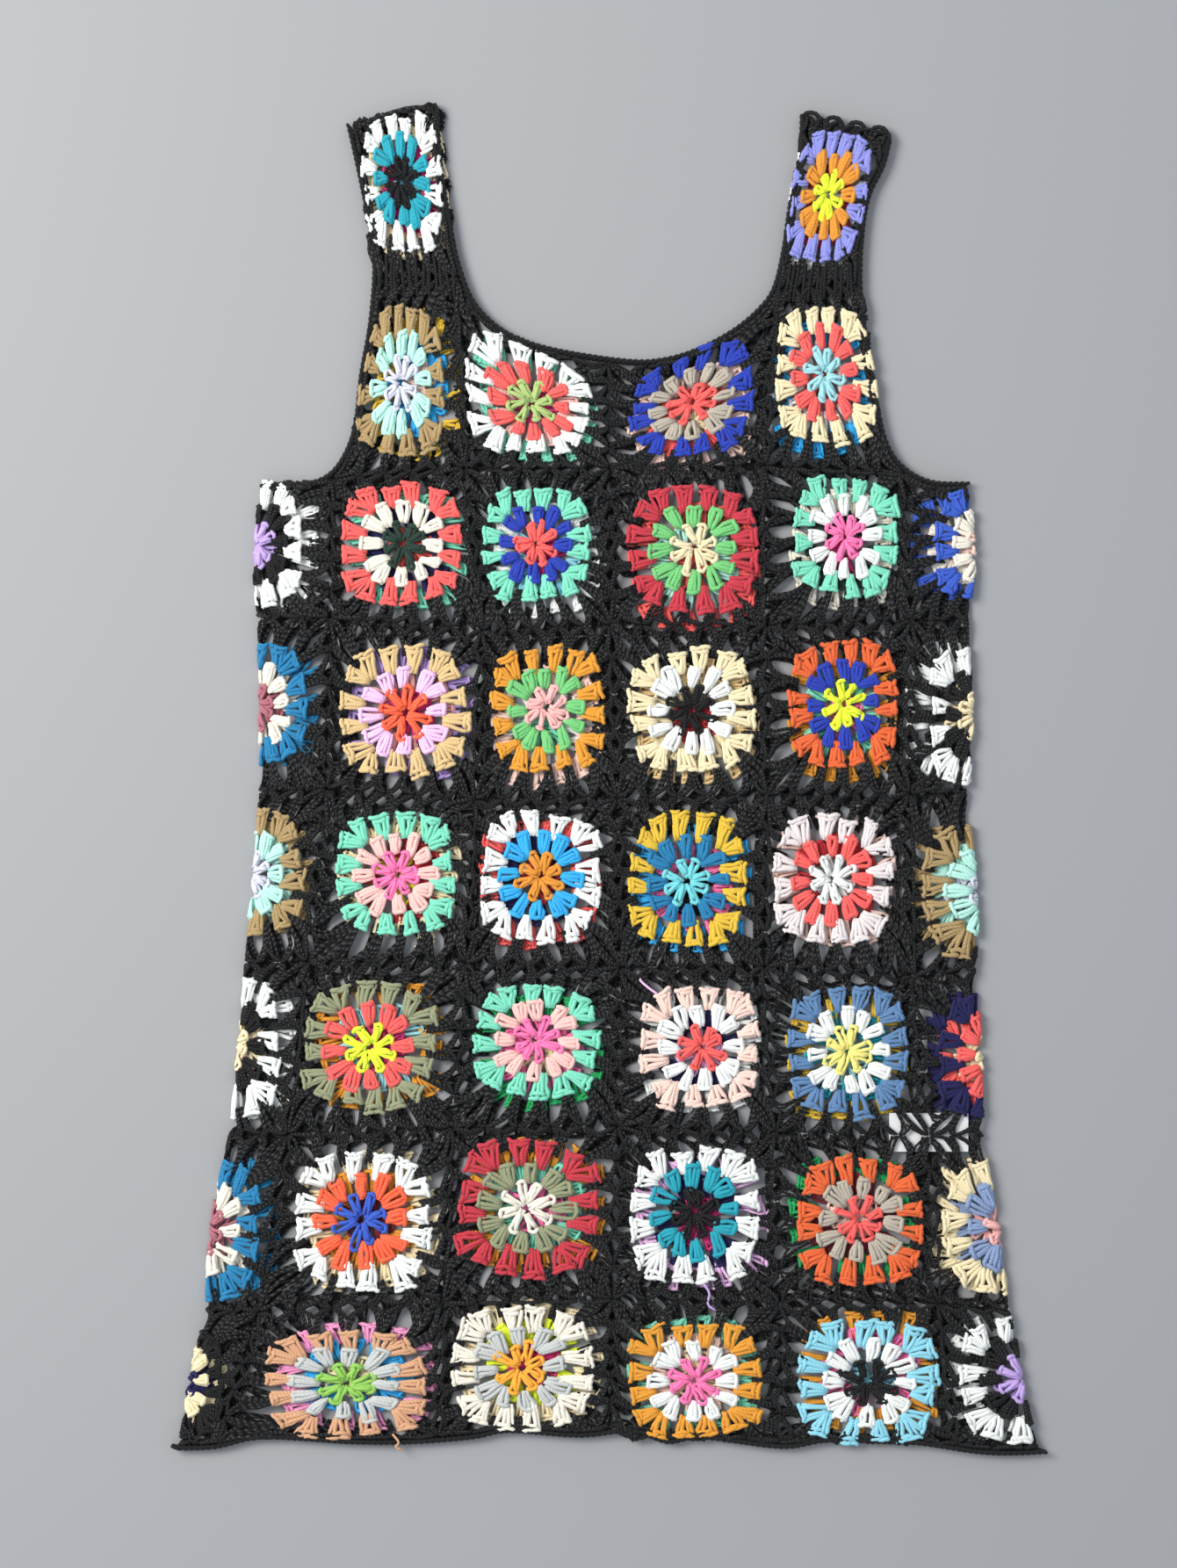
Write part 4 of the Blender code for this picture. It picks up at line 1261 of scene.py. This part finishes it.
# %% List the squares of a layer
def layer_squares(layer):
    """The squares of a layer: name, solid, sides, corners of the rounds, their drift, yarns."""
    back = layer == "back"
    still = (0, 0)
    for row in ROWS:
        for column in COLUMNS:
            name = f"{layer}_row{row}_square{column}"
            drift = BACK_DRIFTS[row - 1][column - 1] if back else still
            yarns = BACK_YARNS[row - 1][column - 1] if back else BODY_YARNS[row - 1][column]
            corners = box_corners(*ROUND_BOXES[row - 1][column - 1])
            node = f"back_row{row}" if back else name
            yield name, node, body_square(layer, row, column), corners, drift, yarns
    for column in COLUMNS:
        name = f"{layer}_yoke_square{column}"
        drift = BACK_YOKE_DRIFTS[column - 1] if back else still
        yarns = (BACK_YOKE_YARNS if back else YOKE_YARNS)[column - 1]
        yield name, name, yoke_square(layer, column), YOKE_CORNERS[column - 1], drift, yarns
    for side in ("left", "right"):
        name = f"strap_{side}_{layer}"
        drift = BACK_STRAP_DRIFTS[side] if back else still
        yarns = (BACK_STRAP_YARNS if back else STRAP_YARNS)[side]
        yield name, name, strap_square(side, layer), STRAP_CORNERS[side], drift, yarns


# %% The back squares, then the front squares
for layer, charts in (("back", back_charts), ("front", front_charts)):
    for name, node, square, corners, drift, yarns in layer_squares(layer):
        carry = flat_carry(square, corners, drift, *LAYERS[layer])
        crochet(name, node, charts, carry, yarns, spans(square))
    print("squares with the", layer, "layer:", len(squares_made))

# %% [markdown]
# ## The sides
# The outermost squares are folded round the sides, half in front and half behind. A fold
# can be thought of as a flat square laid on a sheet of paper that is then bent round a
# thin rod: the chart's left half goes to the front, its right half to the back, and a
# narrow strip between them goes round the rod. The rounds and the lace are blended as in
# the flat squares, and some folds swell outwards a little.

# %% Carry a chart round the fold
FOLD_BEND = 0.055                  # half the width of the strip, in the chart's units


def fold_carry(halves, side, box, fold_at, bulge, flatten_back):
    """A function that carries courses into a square that is folded round the side."""
    outward = -1 if side == "left" else 1
    front_end, back_end, low, high = (value * MM for value in box)

    def carry(courses):
        u, v, height = courses[..., :1], courses[..., 1:2], courses[..., 2:]
        from_fold = u - fold_at
        front = from_fold < 0
        room = np.where(front, 1 + fold_at, 1 - fold_at)
        past_bend = np.maximum(np.abs(from_fold) - FOLD_BEND, 0)
        reach = past_bend / (room - FOLD_BEND)
        uv = np.concatenate([outward * (1 - 2 * reach), v], axis=-1)
        flat = np.where(front, place_in(halves["front"], uv), place_in(halves["back"], uv))
        at_fold = np.concatenate([np.full_like(v, outward), v], axis=-1)
        fold_line = place_in(halves["front"], at_fold)[..., :1]
        inner_end = np.where(front, front_end, back_end)
        rounds_room = np.where(front, ROUNDS_REACH + fold_at, ROUNDS_REACH - fold_at)
        rounds_x = fold_line + (inner_end - fold_line) * past_bend / (rounds_room - FOLD_BEND)
        rounds_y = (low + high) / 2 + v / ROUNDS_REACH * (high - low) / 2
        rounds = np.concatenate([rounds_x, rounds_y], axis=-1)
        flat = mix(rounds, flat, lace_share(courses[..., :2]))
        bend = LAYER_GAP / 2       # the radius of the rod
        pressed = height * np.interp(from_fold, (-FOLD_BEND, FOLD_BEND), (1, flatten_back))
        swell = bulge * MM * np.cos(v * math.pi / 2)
        x = flat[..., :1] + outward * (swell - bend - WALL) * (1 - reach)
        z = np.where(front, FRONT_BOTTOM + height, WALL - pressed)
        angle = np.clip(from_fold / FOLD_BEND, -1, 1) * math.pi / 2
        bent = np.abs(from_fold) < FOLD_BEND
        x = np.where(bent, x + outward * (bend + pressed) * np.cos(angle), x)
        z = np.where(bent, WALL + bend - (bend + pressed) * np.sin(angle), z)
        return np.concatenate([x, flat[..., 1:], z], axis=-1)
    return carry


for side, column in (("left", 0), ("right", LAST_SEAM - 1)):
    for row in ROWS:
        halves = {layer: body_square(layer, row, column) for layer in ("front", "back")}
        measures = (table[side][row - 1] for table in (SIDE_BOXES, FOLD_PLACES, FOLD_BULGES))
        carry = fold_carry(halves, side, *measures, BACK_FLATTEN)
        node = f"side_{side}_row{row}"
        yarns = BODY_YARNS[row - 1][column]
        crochet(node, node, front_charts, carry, yarns, spans(halves["front"], 2))
print("squares in all:", len(squares_made))

# %% [markdown]
# ## The label
# A small plain woven tape is sewn inside one side. It is bare, and it shows as white
# through the black lace. A thin box with soft edges is enough. A fine chequer stands for
# its plain weave, in which one thread after another lies on top.

# %% The label
LABEL_ROUNDING = 0.08 * MM
THREAD = 0.5 * MM
THREAD_COLOURS = {"Color1": (0.88, 0.88, 0.87, 1), "Color2": (0.70, 0.70, 0.70, 1)}
THREAD_RELIEF = {"Strength": 0.4, "Distance": 0.1 * MM}
LABEL_ROUGHNESS = 0.7

label_low, label_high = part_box("side_label")
label_bm = bmesh.new()
bmesh.ops.create_cube(label_bm, size=1)
bmesh.ops.scale(label_bm, vec=label_high - label_low, verts=label_bm.verts)
bmesh.ops.translate(label_bm, vec=(label_low + label_high) / 2, verts=label_bm.verts)
bmesh.ops.bevel(
    label_bm, geom=label_bm.edges[:], offset=LABEL_ROUNDING, affect="EDGES",
    segments=2, profile=0.5, material=-1,
)
label_mesh = mesh_from(label_bm, "crochet_side_label")

label_tape, nodes, links, label_shader = new_material("label tape", {"Roughness": LABEL_ROUGHNESS})
label_place = new_node(nodes, "TexCoord")
weave = new_node(nodes, "TexChecker", {"Scale": 1 / THREAD, **THREAD_COLOURS})
threads = new_node(nodes, "Bump", THREAD_RELIEF)
links.new(label_place.outputs["Object"], weave.inputs["Vector"])
links.new(weave.outputs["Color"], label_shader.inputs["Base Color"])
links.new(weave.outputs["Fac"], threads.inputs["Height"])
links.new(threads.outputs["Normal"], label_shader.inputs["Normal"])
label_mesh.materials.append(label_tape)

label = piece_from(label_mesh, "side_label_tape")
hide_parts("side_label")
print("label, mm:", [round(side / MM, 1) for side in label_high - label_low])

# %% [markdown]
# ## Close the lesson
# The triangles of all the pieces that are shown are counted.

# %% Sizes and the end
total = sum(
    len(face.vertices) - 2
    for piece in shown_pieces() if piece.type == "MESH"
    for face in piece.data.polygons
)
print("triangles shown:", total)
